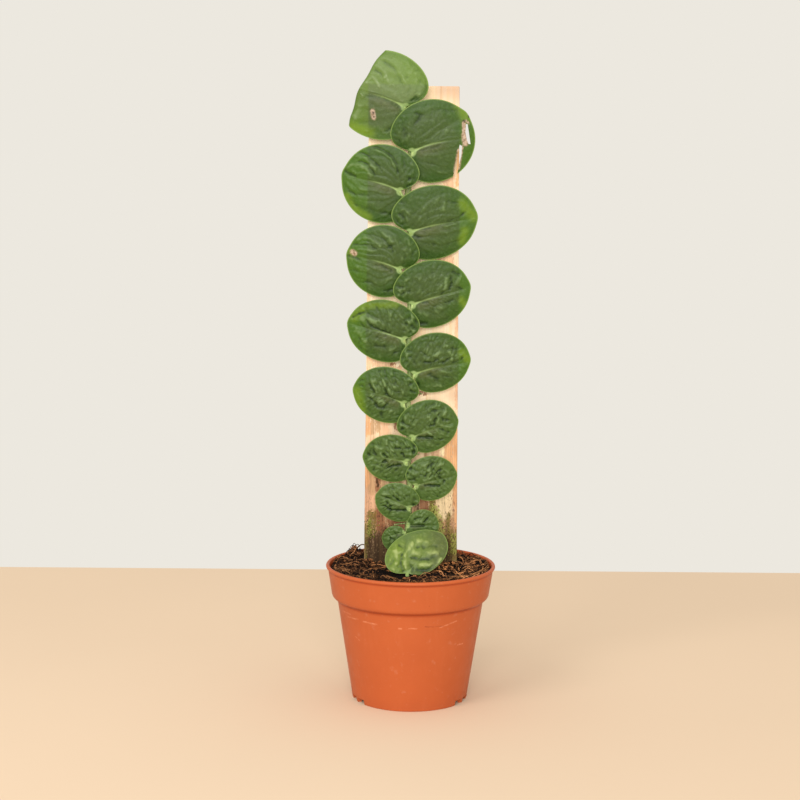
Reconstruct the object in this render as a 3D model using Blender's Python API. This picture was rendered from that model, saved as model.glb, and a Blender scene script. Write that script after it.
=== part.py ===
"""A shingle plant that climbs a wooden board, growing in a plastic nursery pot.

Metres, +Z up. The origin is the middle of the pot's underside. The leaves face -Y,
and the board stands behind them. Driving sizes are in millimetres and become metres
where a mesh is made.
"""
import math
import random
from collections import namedtuple

import bmesh
import bpy
from mathutils import Vector

MM = 0.001
CLEARANCE = 0.35
SLIVER = 0.03

# Pot, turned about the Z axis
POT_HEIGHT = 96.0
RIM_RADIUS = 60.0
LIP_WIDTH = 2.6
LIP_DEPTH = 3.0
COLLAR_TOP_RADIUS = 58.6
COLLAR_FOOT_RADIUS = 55.8
COLLAR_FOOT_Z = 75.0
COLLAR_CURL = ((53.8, 72.2), (55.2, 73.5))
BODY_TOP_RADIUS = 51.8
BODY_TOP_Z = 71.0
BASE_RADIUS = 40.8
POT_WALL = 1.5
FLOOR_UNDERSIDE_Z = 4.2
FLOOR_TOP_Z = 5.8
FLOOR_TOP_RADIUS = 40.0
FOOT_RING_WIDTH = 2.6
FOOT_CHAMFER = 0.5
POT_SIDES = 48

# Drainage: pairs of notches through the foot ring, and round holes in the floor
NOTCH_PAIR_ANGLES = (-154, -26, 26, 154)
NOTCH_WIDTH = 8.0
NOTCH_WEB = 2.4
NOTCH_HEIGHT = 3.4
NOTCH_OVERRUN = 1.5
DRAIN_HOLE_RADIUS = 3.5
DRAIN_HOLE_CIRCLE = 26.0
DRAIN_HOLES = 6
DRAIN_SIDES = 12

# Soil: nearly level, higher against the wall, with seeded clods, one large clump at the back
# and a calm hollow under the young leaf. Clump and hollow are given by their place and size.
SOIL_TOP_Z = 90.6
SOIL_SWELL = 0.5
SOIL_SWELL_PER_MM = (0.13, 0.17, 0.05)
SOIL_EDGE_RISE = 3.2
SOIL_RINGS = 8
SOIL_SIDES = 40
SOIL_CLODS = 30
SOIL_CLOD_HEIGHT = (0.8, 2.4)
SOIL_CLOD_RADIUS = (3.0, 6.5)
SOIL_CLOD_REACH = 52.0
SOIL_SEED = 7
CLUMP_X, CLUMP_Y, CLUMP_RADIUS, CLUMP_RISE = -41.0, 36.0, 6.5, 5.0
HOLLOW_X, HOLLOW_Y, HOLLOW_LONG, HOLLOW_WIDE, HOLLOW_Z = 6.0, -14.0, 27.0, 9.0, 90.2
HOLE_SIDES = 12
HOLE_OVERRUN = 4.0

# Board, a little wider at the soil than at its top
PLANK_FRONT_Y = 19.0
PLANK_THICKNESS = 10.0
PLANK_FOOT_Z = 48.0
PLANK_TOP_Z = 431.0
PLANK_FOOT_WIDTH = 67.6
PLANK_TOP_WIDTH = 63.0
PLANK_EDGE = 0.6

# Climbing stem
STEM_RADIUS = 2.3
STEM_TIP_RADIUS = 0.8
STEM_X = -2.0
STEM_Y = PLANK_FRONT_Y - CLEARANCE - STEM_RADIUS
STEM_FOOT_Z = 62.0
STEM_TOP_Z = 430.0
STEM_BEND = 0.3
STEM_STRAIGHT = 8.0
STEM_TIP_LENGTH = 6.0
STEM_STEPS = 2
STEM_SIDES = 8
ROOT_RADIUS = 0.6
ROOT_TIP_RADIUS = 0.35
ROOT_LENGTH = (7.0, 15.0)
ROOT_BELOW_NODE = (3.0, 8.0)
ROOT_SLOPE = (-0.2, 0.5)
ROOT_BOW = 1.2
ROOT_SIDES = 4
ROOT_SEED = 3

# Leaves
BLADE_THICKNESS = 0.8
BLADE_RINGS = 4
BLADE_SIDES = 32
FOLDED_RINGS = (3, 4, 2)
FOLDED_SIDES = 40
BLADE_DOME = 1.8
EDGE_WAVE = 0.45
EDGE_WAVES = 3
RIB_GROOVE = 0.8
RIB_GROOVE_WIDTH = 5.0
TIP_DROOP = 0.0012
SINUS_SPREAD = 0.40
TIP_SPREAD = 0.16
TIP_POINT = 0.03
PETIOLE_RADIUS = 1.3
PETIOLE_TIP_RADIUS = 1.0
PETIOLE_DROP = 5.0
PETIOLE_STRAIGHT = 0.6
PETIOLE_BOW = 0.6
PETIOLE_SIDES = 6
BASE_SHARE = 0.96

# One leaf: the side of the stem it grows on, its base, where the petiole meets the blade, the
# angle of its long axis above the horizontal, its reach from the base along and across that
# axis, the midrib's angle from that axis, and how far the blade leans towards -Y as it rises.
Leaf = namedtuple("Leaf", "side base_x base_y base_z axis length back up down rib lean")
BASE_Y = 9.0
LEAN = 10.0
CLIMBING_LEAVES = (
    Leaf(-1, -6.1, BASE_Y - 2.0, 415.6, 5, 50.0, 17.0, 37.1, 23.6, 15, LEAN),
    Leaf(1, -1.5, BASE_Y, 385.0, 16, 45.8, 15.0, 32.2, 24.8, 20, LEAN),
    Leaf(-1, -9.2, BASE_Y, 358.0, 17, 42.0, 14.5, 28.5, 26.0, 0, LEAN),
    Leaf(1, -2.7, BASE_Y, 329.4, 14, 48.5, 14.5, 29.0, 22.5, 0, LEAN),
    Leaf(-1, -8.8, BASE_Y, 303.4, 17, 39.0, 13.5, 28.0, 23.0, 0, LEAN),
    Leaf(1, -0.6, BASE_Y, 278.9, 19, 43.0, 13.5, 27.0, 20.5, 0, LEAN),
    Leaf(-1, -5.2, BASE_Y, 254.2, 17.2, 42.0, 12.0, 24.0, 20.0, 0, LEAN),
    Leaf(1, 1.1, BASE_Y, 229.8, 15.5, 41.6, 9.5, 26.0, 16.8, 0, LEAN),
    Leaf(-1, -5.3, BASE_Y, 208.8, 16.5, 37.7, 11.0, 23.0, 17.3, 0, LEAN),
    Leaf(1, 0.2, BASE_Y, 184.6, 22, 35.3, 9.5, 23.0, 15.0, 0, LEAN),
    Leaf(-1, -3.1, BASE_Y, 167.2, 7, 31.4, 10.5, 19.0, 16.0, 0, LEAN),
    Leaf(1, 2.8, BASE_Y, 149.9, 17, 31.0, 7.0, 19.0, 14.0, 0, LEAN),
    Leaf(-1, -0.7, BASE_Y, 134.0, 20, 26.0, 7.5, 15.5, 13.0, 0, LEAN),
    Leaf(1, -2.6, BASE_Y, 121.6, -10, 22.5, 1.0, 14.0, 12.0, 10, LEAN),
    Leaf(-1, -4.1, BASE_Y, 116.8, -25, 18.0, 1.5, 8.0, 12.0, 10, LEAN),
)
SOIL_LEAF = Leaf(1, -2.6, -16.0, 92.3, 19, 33.6, 12.4, 25.0, 4.2, 28, -22.0)
SOIL_LEAF_FOOT_Z = 68.0
SOIL_PETIOLE_SLANT = 2.0

# The top leaf's tip side is folded back about a bowed line across the blade
FOLD_REACH = 33.6
FOLD_HEIGHT = 8.4
FOLD_SLOPE = -0.348
FOLD_BOW = -0.0067
FOLD_RADIUS = 2.4
FOLD_TURN = math.radians(172)
FOLD_SEARCH_STEPS = 30
LAST_ARC_START = 0.80
LEAST_ARC = 0.08

# The second leaf's tear, as x and z round each outline: a narrow hole near the margin, and
# below it a slit that runs out at the bottom and leaves a strip hanging beside the blade
TEAR_HOLE = ((35.8, 404.7), (35.4, 399.2), (36.6, 393.8), (37.8, 391.0),
             (39.2, 391.0), (38.6, 394.7), (37.8, 399.6), (36.9, 404.7))
TEAR_SLIT = ((31.7, 390.6), (30.2, 384.7), (28.6, 375.5), (27.2, 367.0), (25.9, 358.0),
             (34.0, 358.0), (30.4, 370.5), (31.4, 376.5), (32.9, 383.0), (33.3, 389.6))
TEAR_DEPTH = (-8.0, 18.0)

# The six faces of a box whose corners run x fastest, then y, then z
BOX_FACES = ((0, 1, 3, 2), (4, 5, 7, 6), (0, 1, 5, 4), (2, 3, 7, 6), (0, 2, 6, 4), (1, 3, 7, 5))


def clear_scene():
    """Empty the file, so that the script gives the same objects each run."""
    for thing in list(bpy.data.objects):
        bpy.data.objects.remove(thing, do_unlink=True)


def make_material(name, color, roughness, metallic=0.0):
    """A Principled material of one colour."""
    material = bpy.data.materials.new(name)
    material.use_nodes = True
    shader = material.node_tree.nodes["Principled BSDF"]
    shader.inputs["Base Color"].default_value = (*color, 1.0)
    shader.inputs["Roughness"].default_value = roughness
    shader.inputs["Metallic"].default_value = metallic
    return material


def add_object(name, mesh):
    """Link a mesh to the scene as one object."""
    thing = bpy.data.objects.new(name, mesh)
    bpy.context.scene.collection.objects.link(thing)
    return thing


def mesh_from(points, faces, name):
    """A mesh in metres from points in millimetres, with its faces turned outwards."""
    build = bmesh.new()
    corners = [build.verts.new(Vector(point) * MM) for point in points]
    for face in faces:
        build.faces.new([corners[index] for index in face])
    bmesh.ops.recalc_face_normals(build, faces=build.faces)
    mesh = bpy.data.meshes.new(name)
    build.to_mesh(mesh)
    build.free()
    return mesh


def bake(thing):
    """Turn an object's evaluated shape into its own mesh, without modifiers."""
    graph = bpy.context.evaluated_depsgraph_get()
    graph.update()
    mesh = bpy.data.meshes.new_from_object(thing.evaluated_get(graph))
    thing.modifiers.clear()
    thing.data = mesh


def drop_slivers(mesh):
    """Close up the very short edges that a Boolean leaves along its cuts."""
    build = bmesh.new()
    build.from_mesh(mesh)
    bmesh.ops.triangulate(build, faces=build.faces)
    bmesh.ops.dissolve_degenerate(build, edges=build.edges, dist=SLIVER * MM)
    bmesh.ops.recalc_face_normals(build, faces=build.faces)
    build.to_mesh(mesh)
    build.free()


def combine(thing, others, operation):
    """Fuse other closed bodies into an object, or cut them from it, and drop them."""
    group = bpy.data.collections.new(thing.name + "_others")
    bpy.context.scene.collection.children.link(group)
    for other in others:
        bpy.context.scene.collection.objects.unlink(other)
        group.objects.link(other)
        other.hide_render = True
        other.display_type = "WIRE"
    boolean = thing.modifiers.new("combine", "BOOLEAN")
    boolean.operation = operation
    boolean.solver = "EXACT"
    boolean.operand_type = "COLLECTION"
    boolean.collection = group
    bake(thing)
    drop_slivers(thing.data)
    for other in others:
        bpy.data.objects.remove(other, do_unlink=True)
    bpy.data.collections.remove(group)


def shade(thing, degrees):
    """Smooth shading, with edges sharper than the given angle kept."""
    thing.data.shade_smooth()
    thing.data.set_sharp_from_angle(angle=math.radians(degrees))


def tube(name, path, radii, sides):
    """A closed round tube along a path of points, with a radius at each point."""
    points = []
    faces = []
    count = len(path)
    for index, centre in enumerate(path):
        before = path[max(index - 1, 0)]
        after = path[min(index + 1, count - 1)]
        along = (after - before).normalized()
        guide = Vector((0, 1, 0)) if abs(along.y) < 0.9 else Vector((1, 0, 0))
        across = along.cross(guide).normalized()
        upward = across.cross(along)
        for side in range(sides):
            turn = math.tau * side / sides
            offset = across * math.cos(turn) + upward * math.sin(turn)
            points.append(centre + offset * radii[index])
    for ring in range(count - 1):
        for side in range(sides):
            following = (side + 1) % sides
            low = ring * sides
            high = low + sides
            faces.append((low + side, low + following, high + following, high + side))
    faces.append(tuple(range(sides)))
    faces.append(tuple(range((count - 1) * sides, count * sides)))
    return add_object(name, mesh_from(points, faces, name))


def turned_solid(name, profile, sides):
    """A solid of revolution from an outline of (radius, z) that starts and ends on the axis."""
    points = [(0, 0, profile[0][1]), (0, 0, profile[-1][1])]
    for radius, height in profile[1:-1]:
        for side in range(sides):
            turn = math.tau * side / sides
            points.append((radius * math.cos(turn), radius * math.sin(turn), height))
    rings = len(profile) - 2
    faces = []
    for side in range(sides):
        following = (side + 1) % sides
        faces.append((0, 2 + side, 2 + following))
        for ring in range(rings - 1):
            low = 2 + ring * sides
            high = low + sides
            faces.append((low + side, high + side, high + following, low + following))
        last = 2 + (rings - 1) * sides
        faces.append((1, last + following, last + side))
    return add_object(name, mesh_from(points, faces, name))


def block(name, low, high):
    """A box between two corners."""
    points = []
    for z in (low[2], high[2]):
        for y in (low[1], high[1]):
            points += [(low[0], y, z), (high[0], y, z)]
    return add_object(name, mesh_from(points, BOX_FACES, name))


def pot_inside_radius(height):
    """The radius of the pot's inner face at a height."""
    stations = (
        (FLOOR_TOP_Z, FLOOR_TOP_RADIUS),
        (BODY_TOP_Z, BODY_TOP_RADIUS - POT_WALL),
        (COLLAR_FOOT_Z, COLLAR_FOOT_RADIUS - POT_WALL),
        (POT_HEIGHT - LIP_DEPTH, COLLAR_TOP_RADIUS - POT_WALL),
    )
    for (low_z, low_radius), (high_z, high_radius) in zip(stations, stations[1:]):
        if height <= high_z:
            share = (height - low_z) / (high_z - low_z)
            return low_radius + share * (high_radius - low_radius)
    return stations[-1][1]


def lip_points():
    """The rolled lip, from under its outer edge, over its top, to the inner face."""
    middle_radius = RIM_RADIUS - LIP_WIDTH / 2
    middle_z = POT_HEIGHT - LIP_WIDTH / 2
    points = [(COLLAR_TOP_RADIUS, POT_HEIGHT - LIP_DEPTH)]
    for degrees in (-40, 0, 45, 90, 135, 180):
        turn = math.radians(degrees)
        radius = middle_radius + math.cos(turn) * LIP_WIDTH / 2
        points.append((radius, middle_z + math.sin(turn) * LIP_WIDTH / 2))
    points.append((pot_inside_radius(POT_HEIGHT - LIP_DEPTH), POT_HEIGHT - LIP_DEPTH))
    return points


def make_pot():
    """The pot: foot ring, tapered body, stepped collar and rolled lip, with its drainage."""
    profile = [
        (0, FLOOR_UNDERSIDE_Z),
        (BASE_RADIUS - FOOT_RING_WIDTH, FLOOR_UNDERSIDE_Z),
        (BASE_RADIUS - FOOT_RING_WIDTH, 0),
        (BASE_RADIUS - FOOT_CHAMFER, 0),
        (BASE_RADIUS, FOOT_CHAMFER),
        (BODY_TOP_RADIUS, BODY_TOP_Z),
        *COLLAR_CURL,
        (COLLAR_FOOT_RADIUS, COLLAR_FOOT_Z),
    ]
    profile += lip_points()
    for height in (COLLAR_FOOT_Z, BODY_TOP_Z, FLOOR_TOP_Z):
        profile.append((pot_inside_radius(height), height))
    profile.append((0, FLOOR_TOP_Z))
    pot = turned_solid("pot", profile, POT_SIDES)
    combine(pot, notch_cutters() + drain_cutters(), "DIFFERENCE")
    pot.data.materials.append(make_material("pot_plastic", (0.67, 0.14, 0.04), 0.42))
    shade(pot, 30)
    return pot


def notch_cutters():
    """Boxes through the foot ring, two beside a web at each place."""
    cutters = []
    inner = BASE_RADIUS - FOOT_RING_WIDTH - NOTCH_OVERRUN
    outer = BASE_RADIUS + NOTCH_OVERRUN
    for degrees in NOTCH_PAIR_ANGLES:
        for hand in (-1, 1):
            near = hand * NOTCH_WEB / 2
            far = hand * (NOTCH_WEB / 2 + NOTCH_WIDTH)
            low = (inner, min(near, far), -NOTCH_OVERRUN)
            high = (outer, max(near, far), NOTCH_HEIGHT)
            cutter = block("notch", low, high)
            cutter.rotation_euler.z = math.radians(degrees)
            cutters.append(cutter)
    return cutters


def drain_cutters():
    """Round cutters for the holes in the floor."""
    cutters = []
    for index in range(DRAIN_HOLES):
        turn = math.tau * index / DRAIN_HOLES
        x = DRAIN_HOLE_CIRCLE * math.cos(turn)
        y = DRAIN_HOLE_CIRCLE * math.sin(turn)
        path = [Vector((x, y, 0)), Vector((x, y, FLOOR_TOP_Z + FLOOR_UNDERSIDE_Z))]
        cutters.append(tube("drain", path, (DRAIN_HOLE_RADIUS,) * 2, DRAIN_SIDES))
    return cutters


def soil_height(x, y, clods):
    """The height of the soil's surface at a place."""
    height = SOIL_TOP_Z + SOIL_EDGE_RISE * (math.hypot(x, y) / COLLAR_FOOT_RADIUS) ** 4
    along_x, along_y, aslant = SOIL_SWELL_PER_MM
    height += SOIL_SWELL * (math.sin(x * along_x) + math.cos(y * along_y - x * aslant))
    for clod_x, clod_y, radius, rise in clods:
        away = math.hypot(x - clod_x, y - clod_y) / radius
        height += rise * math.exp(-away * away)
    hollow = math.hypot((x - HOLLOW_X) / HOLLOW_LONG, (y - HOLLOW_Y) / HOLLOW_WIDE)
    calm = math.exp(-hollow ** 4)
    return height * (1 - calm) + HOLLOW_Z * calm


def soil_clods():
    """The large clump, and seeded places and sizes of small clods, as x, y, radius and rise."""
    draw = random.Random(SOIL_SEED)
    clods = [(CLUMP_X, CLUMP_Y, CLUMP_RADIUS, CLUMP_RISE)]
    for _ in range(SOIL_CLODS):
        reach = SOIL_CLOD_REACH * math.sqrt(draw.random())
        turn = draw.uniform(0, math.tau)
        radius = draw.uniform(*SOIL_CLOD_RADIUS)
        rise = draw.uniform(*SOIL_CLOD_HEIGHT)
        clods.append((reach * math.cos(turn), reach * math.sin(turn), radius, rise))
    return clods


def make_soil():
    """The filling: it follows the pot's inside, and its top is an uneven surface."""
    clods = soil_clods()
    top_radius = pot_inside_radius(SOIL_TOP_Z) - CLEARANCE
    floor_z = FLOOR_TOP_Z + CLEARANCE
    points = [(0, 0, floor_z), (0, 0, soil_height(0, 0, clods))]
    rings = []
    for height in (floor_z, BODY_TOP_Z, COLLAR_FOOT_Z):
        rings.append((pot_inside_radius(height) - CLEARANCE, height))
    for index in range(SOIL_RINGS, 0, -1):
        rings.append((top_radius * index / SOIL_RINGS, None))
    for radius, height in rings:
        for side in range(SOIL_SIDES):
            turn = math.tau * side / SOIL_SIDES
            x = radius * math.cos(turn)
            y = radius * math.sin(turn)
            points.append((x, y, soil_height(x, y, clods) if height is None else height))
    faces = []
    for side in range(SOIL_SIDES):
        following = (side + 1) % SOIL_SIDES
        faces.append((0, 2 + side, 2 + following))
        for ring in range(len(rings) - 1):
            low = 2 + ring * SOIL_SIDES
            high = low + SOIL_SIDES
            faces.append((low + side, low + following, high + following))
            faces.append((low + side, high + following, high + side))
        last = 2 + (len(rings) - 1) * SOIL_SIDES
        faces.append((1, last + side, last + following))
    soil = add_object("soil", mesh_from(points, faces, "soil"))
    combine(soil, soil_cutters(), "DIFFERENCE")
    soil.data.materials.append(make_material("soil_peat", (0.045, 0.028, 0.018), 0.95))
    shade(soil, 40)
    return soil


def soil_cutters():
    """The board's slot, the stem's hole and the young leaf's hole, each a little oversize."""
    slot = plank_solid("slot", CLEARANCE)
    foot = Vector((STEM_X, STEM_Y, STEM_FOOT_Z - CLEARANCE))
    top = Vector((STEM_X, STEM_Y, POT_HEIGHT + HOLE_OVERRUN))
    stem_hole = tube("stem_hole", [foot, top], (STEM_RADIUS + CLEARANCE,) * 2, HOLE_SIDES)
    path = soil_petiole_path()
    down = (path[0] - path[-1]).normalized()
    foot = path[0] + down * CLEARANCE
    top = path[-1] - down * HOLE_OVERRUN
    leaf_hole = tube("leaf_hole", [foot, top], (PETIOLE_RADIUS + CLEARANCE,) * 2, HOLE_SIDES)
    return [slot, stem_hole, leaf_hole]


def plank_width(height):
    """The board's width at a height."""
    share = (height - PLANK_FOOT_Z) / (PLANK_TOP_Z - PLANK_FOOT_Z)
    return PLANK_FOOT_WIDTH + share * (PLANK_TOP_WIDTH - PLANK_FOOT_WIDTH)


def plank_solid(name, margin):
    """The board, or with a margin the slot that it stands in."""
    front = PLANK_FRONT_Y - margin
    back = PLANK_FRONT_Y + PLANK_THICKNESS + margin
    points = []
    for height in (PLANK_FOOT_Z - margin, PLANK_TOP_Z):
        half = plank_width(height) / 2 + margin
        for y in (front, back):
            for x in (-half, half):
                points.append((x, y, height))
    return add_object(name, mesh_from(points, BOX_FACES, name))


def make_plank():
    """The board, with its sawn edges just broken."""
    plank = plank_solid("plank", 0)
    plank.data.materials.append(make_material("pale_pine", (0.78, 0.52, 0.28), 0.6))
    bevel = plank.modifiers.new("broken_edges", "BEVEL")
    bevel.width = PLANK_EDGE * MM
    bevel.segments = 1
    bake(plank)
    shade(plank, 30)
    return plank


def stem_x(height):
    """Where the stem runs at a height: straight in the soil, then swaying towards each leaf."""
    lowest = CLIMBING_LEAVES[-1].base_z - PETIOLE_DROP - STEM_STRAIGHT
    if height <= lowest:
        return STEM_X
    stations = [(lowest, STEM_X)]
    for leaf in reversed(CLIMBING_LEAVES):
        stations.append((leaf.base_z - PETIOLE_DROP, STEM_X + STEM_BEND * (leaf.base_x - STEM_X)))
    stations.append((STEM_TOP_Z, stations[-1][1]))
    for (low_z, low_x), (high_z, high_x) in zip(stations, stations[1:]):
        if height <= high_z:
            share = (height - low_z) / (high_z - low_z)
            eased = share * share * (3 - 2 * share)
            return low_x + eased * (high_x - low_x)
    return stations[-1][1]


def stem_heights():
    """Heights along the stem: a few between each leaf and the next."""
    nodes = [STEM_FOOT_Z, POT_HEIGHT]
    nodes += sorted(leaf.base_z - PETIOLE_DROP for leaf in CLIMBING_LEAVES)
    heights = []
    for low, high in zip(nodes, nodes[1:]):
        heights += [low + (high - low) * step / STEM_STEPS for step in range(STEM_STEPS)]
    return heights + [nodes[-1], STEM_TOP_Z - STEM_TIP_LENGTH, STEM_TOP_Z]


def make_stem():
    """The climbing stem with its clasping roots, which lie against the board."""
    path = []
    radii = []
    for height in stem_heights():
        path.append(Vector((stem_x(height), STEM_Y, height)))
        radii.append(STEM_RADIUS)
    radii[-1] = STEM_TIP_RADIUS
    stem = tube("stem", path, radii, STEM_SIDES)
    combine(stem, clasping_roots(), "UNION")
    stem.data.materials.append(make_material("green_stem", (0.20, 0.30, 0.08), 0.6))
    shade(stem, 50)
    return stem


def clasping_roots():
    """Short seeded roots, one to each side of the stem under each leaf."""
    draw = random.Random(ROOT_SEED)
    roots = []
    board_y = PLANK_FRONT_Y - CLEARANCE - ROOT_RADIUS
    for leaf in CLIMBING_LEAVES[:-1]:
        for hand in (-1, 1):
            height = leaf.base_z - PETIOLE_DROP - draw.uniform(*ROOT_BELOW_NODE)
            length = draw.uniform(*ROOT_LENGTH)
            drop = draw.uniform(*ROOT_SLOPE) * length
            start = Vector((stem_x(height), board_y, height))
            bow = draw.uniform(-ROOT_BOW, ROOT_BOW)
            middle = start + Vector((hand * length / 2, 0, bow - drop / 2))
            end = start + Vector((hand * length, 0, -drop))
            radii = (ROOT_RADIUS, ROOT_RADIUS, ROOT_TIP_RADIUS)
            roots.append(tube("root", [start, middle, end], radii, ROOT_SIDES))
    return roots


def wrapped(angle):
    """An angle brought between minus and plus half a turn."""
    return (angle + math.pi) % math.tau - math.pi


def blade_ellipse(leaf):
    """The oval that the blade's outline is drawn on: its centre and its half axes."""
    centre = ((leaf.length - leaf.back) / 2, (leaf.up - leaf.down) / 2)
    return centre, (leaf.length + leaf.back) / 2, (leaf.up + leaf.down) / 2


def tip_direction(leaf):
    """The direction from the oval's centre to the end of the midrib."""
    (centre_u, centre_v), half_long, half_wide = blade_ellipse(leaf)
    turn = math.radians(leaf.rib)
    along = Vector((math.cos(turn) / half_long, math.sin(turn) / half_wide))
    start = Vector((-centre_u / half_long, -centre_v / half_wide))
    b = along.dot(start)
    reach = (-b + math.sqrt(b * b - along.dot(along) * (start.dot(start) - 1))) / along.dot(along)
    return math.atan2(reach * math.sin(turn) - centre_v, reach * math.cos(turn) - centre_u)


def outline_radius(leaf, angle):
    """The outline's distance from the oval's centre, with the sinus at the base and the tip."""
    (centre_u, centre_v), half_long, half_wide = blade_ellipse(leaf)

    def oval(direction):
        return 1 / math.hypot(math.cos(direction) / half_long, math.sin(direction) / half_wide)

    base = math.atan2(-centre_v, -centre_u)
    depth = 1 - math.hypot(centre_u, centre_v) / oval(base)
    sinus = depth * math.exp(-(wrapped(angle - base) / SINUS_SPREAD) ** 2)
    point = TIP_POINT * math.exp(-(wrapped(angle - tip_direction(leaf)) / TIP_SPREAD) ** 2)
    return oval(angle) * (1 - sinus) * (1 + point)


def outline_angles(leaf, sides):
    """Directions round the outline, with one at the base and one at the tip."""
    (centre_u, centre_v), _, _ = blade_ellipse(leaf)
    base = math.atan2(-centre_v, -centre_u)
    first = (tip_direction(leaf) - base) % math.tau
    count = round(sides * first / math.tau)
    angles = [base + first * index / count for index in range(count)]
    rest = math.tau - first
    return angles + [base + first + rest * index / (sides - count) for index in range(sides - count)]


def blade_relief(leaf, u, v, share, angle):
    """How far the blade stands forward of its leaning plane at a point."""
    turn = math.radians(leaf.rib)
    from_rib = abs(v * math.cos(turn) - u * math.sin(turn))
    relief = BLADE_DOME * (1 - share * share)
    relief += EDGE_WAVE * share * share * math.sin(EDGE_WAVES * angle + leaf.base_z)
    relief -= RIB_GROOVE * math.exp(-from_rib / RIB_GROOVE_WIDTH) * (1 - share ** 4)
    relief -= TIP_DROOP * max(u, 0) ** 2
    return relief


def fold_start(v):
    """Where along the leaf the fold's arc starts, at a height across it: a bowed line."""
    rise = v - FOLD_HEIGHT
    return FOLD_REACH + FOLD_SLOPE * rise + FOLD_BOW * rise * rise - FOLD_RADIUS


def folded_back(u, v, relief):
    """The top leaf's fold: what lies past the bowed line turns round an arc and runs back."""
    past = u - fold_start(v)
    if past <= 0:
        return u, relief
    turn = min(past / FOLD_RADIUS, FOLD_TURN)
    straight = past - turn * FOLD_RADIUS
    folded_u = fold_start(v) + FOLD_RADIUS * math.sin(turn) + straight * math.cos(turn)
    backward = FOLD_RADIUS * (1 - math.cos(turn)) + straight * math.sin(turn)
    return folded_u, relief - backward


def flat_point(leaf, angle, share):
    """A point of the flat blade, by its direction and its share of the way to the edge."""
    (centre_u, centre_v), _, _ = blade_ellipse(leaf)
    radius = outline_radius(leaf, angle) * share
    return centre_u + radius * math.cos(angle), centre_v + radius * math.sin(angle)


def share_past_fold(leaf, angle, distance):
    """The share of the way to the edge at which the blade has run a distance past the fold's start."""
    low = 0.0
    high = 2.0
    for _ in range(FOLD_SEARCH_STEPS):
        middle = (low + high) / 2
        u, v = flat_point(leaf, angle, middle)
        if u - fold_start(v) < distance:
            low = middle
        else:
            high = middle
    return low


def ring_shares(leaf, angle, fold):
    """Where the blade's rings lie in one direction: evenly, or gathered where the blade folds."""
    if not fold:
        return [ring / BLADE_RINGS for ring in range(1, BLADE_RINGS + 1)]
    arc_start = min(share_past_fold(leaf, angle, 0), LAST_ARC_START)
    arc_end = share_past_fold(leaf, angle, FOLD_RADIUS * FOLD_TURN)
    arc_end = min(max(arc_end, arc_start + LEAST_ARC), LAST_ARC_START + 1.5 * LEAST_ARC)
    shares = []
    stretches = zip(FOLDED_RINGS, (0, arc_start, arc_end), (arc_start, arc_end, 1))
    for rings, low, high in stretches:
        shares += [low + (high - low) * ring / rings for ring in range(1, rings + 1)]
    return shares


def blade_point(leaf, angle, share, fold):
    """The place of a blade point, raised, folded and leaning."""
    u, v = flat_point(leaf, angle, share)
    relief = blade_relief(leaf, u, v, share, angle)
    if fold:
        u, relief = folded_back(u, v, relief)
    turn = math.radians(leaf.axis)
    across = u * math.cos(turn) - v * math.sin(turn)
    rise = u * math.sin(turn) + v * math.cos(turn)
    lean = rise * math.tan(math.radians(leaf.lean))
    return Vector((leaf.base_x + leaf.side * across, leaf.base_y - lean - relief, leaf.base_z + rise))


def blade_solid(name, leaf, fold=False):
    """The blade: a triangulated sheet from its middle to its outline, thickened backwards."""
    sides = FOLDED_SIDES if fold else BLADE_SIDES
    angles = outline_angles(leaf, sides)
    shares = [ring_shares(leaf, angle, fold) for angle in angles]
    rings = len(shares[0])
    points = [blade_point(leaf, 0, 0, fold)]
    for ring in range(rings):
        points += [blade_point(leaf, angle, row[ring], fold) for angle, row in zip(angles, shares)]
    faces = []
    for side in range(sides):
        following = (side + 1) % sides
        faces.append((0, 1 + side, 1 + following))
        for ring in range(rings - 1):
            near = 1 + ring * sides
            far = near + sides
            faces.append((near + side, far + side, far + following))
            faces.append((near + side, far + following, near + following))
    if leaf.side < 0:
        faces = [face[::-1] for face in faces]
    mesh = bpy.data.meshes.new(name)
    mesh.from_pydata([point * MM for point in points], [], faces)
    blade = add_object(name, mesh)
    thicken = blade.modifiers.new("thickness", "SOLIDIFY")
    thicken.thickness = BLADE_THICKNESS * MM
    thicken.offset = -1
    bake(blade)
    return blade


def base_point(leaf):
    """The middle of the blade's thickness at the leaf's base."""
    (centre_u, centre_v), _, _ = blade_ellipse(leaf)
    angle = math.atan2(-centre_v, -centre_u)
    return blade_point(leaf, angle, BASE_SHARE, False) + Vector((0, BLADE_THICKNESS / 2, 0))


def climbing_petiole(leaf):
    """The short petiole from the stem's surface up to the blade's base."""
    blade_end = base_point(leaf)
    height = leaf.base_z - PETIOLE_DROP
    axis_point = Vector((stem_x(height), STEM_Y, height))
    outward = Vector((blade_end.x - axis_point.x, blade_end.y - axis_point.y, 0)).normalized()
    stem_end = axis_point + outward * (STEM_RADIUS + CLEARANCE)
    straight = stem_end + outward * PETIOLE_STRAIGHT
    middle = straight.lerp(blade_end, 0.5) + outward * PETIOLE_BOW
    radii = (PETIOLE_RADIUS, PETIOLE_RADIUS, PETIOLE_RADIUS, PETIOLE_TIP_RADIUS)
    return tube("petiole", [stem_end, straight, middle, blade_end], radii, PETIOLE_SIDES)


def soil_petiole_path():
    """The young leaf's petiole, straight up out of the soil to the blade's base."""
    blade_end = base_point(SOIL_LEAF)
    foot = Vector((blade_end.x, blade_end.y + SOIL_PETIOLE_SLANT, SOIL_LEAF_FOOT_Z))
    return [foot, foot.lerp(blade_end, 0.5), blade_end]


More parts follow.
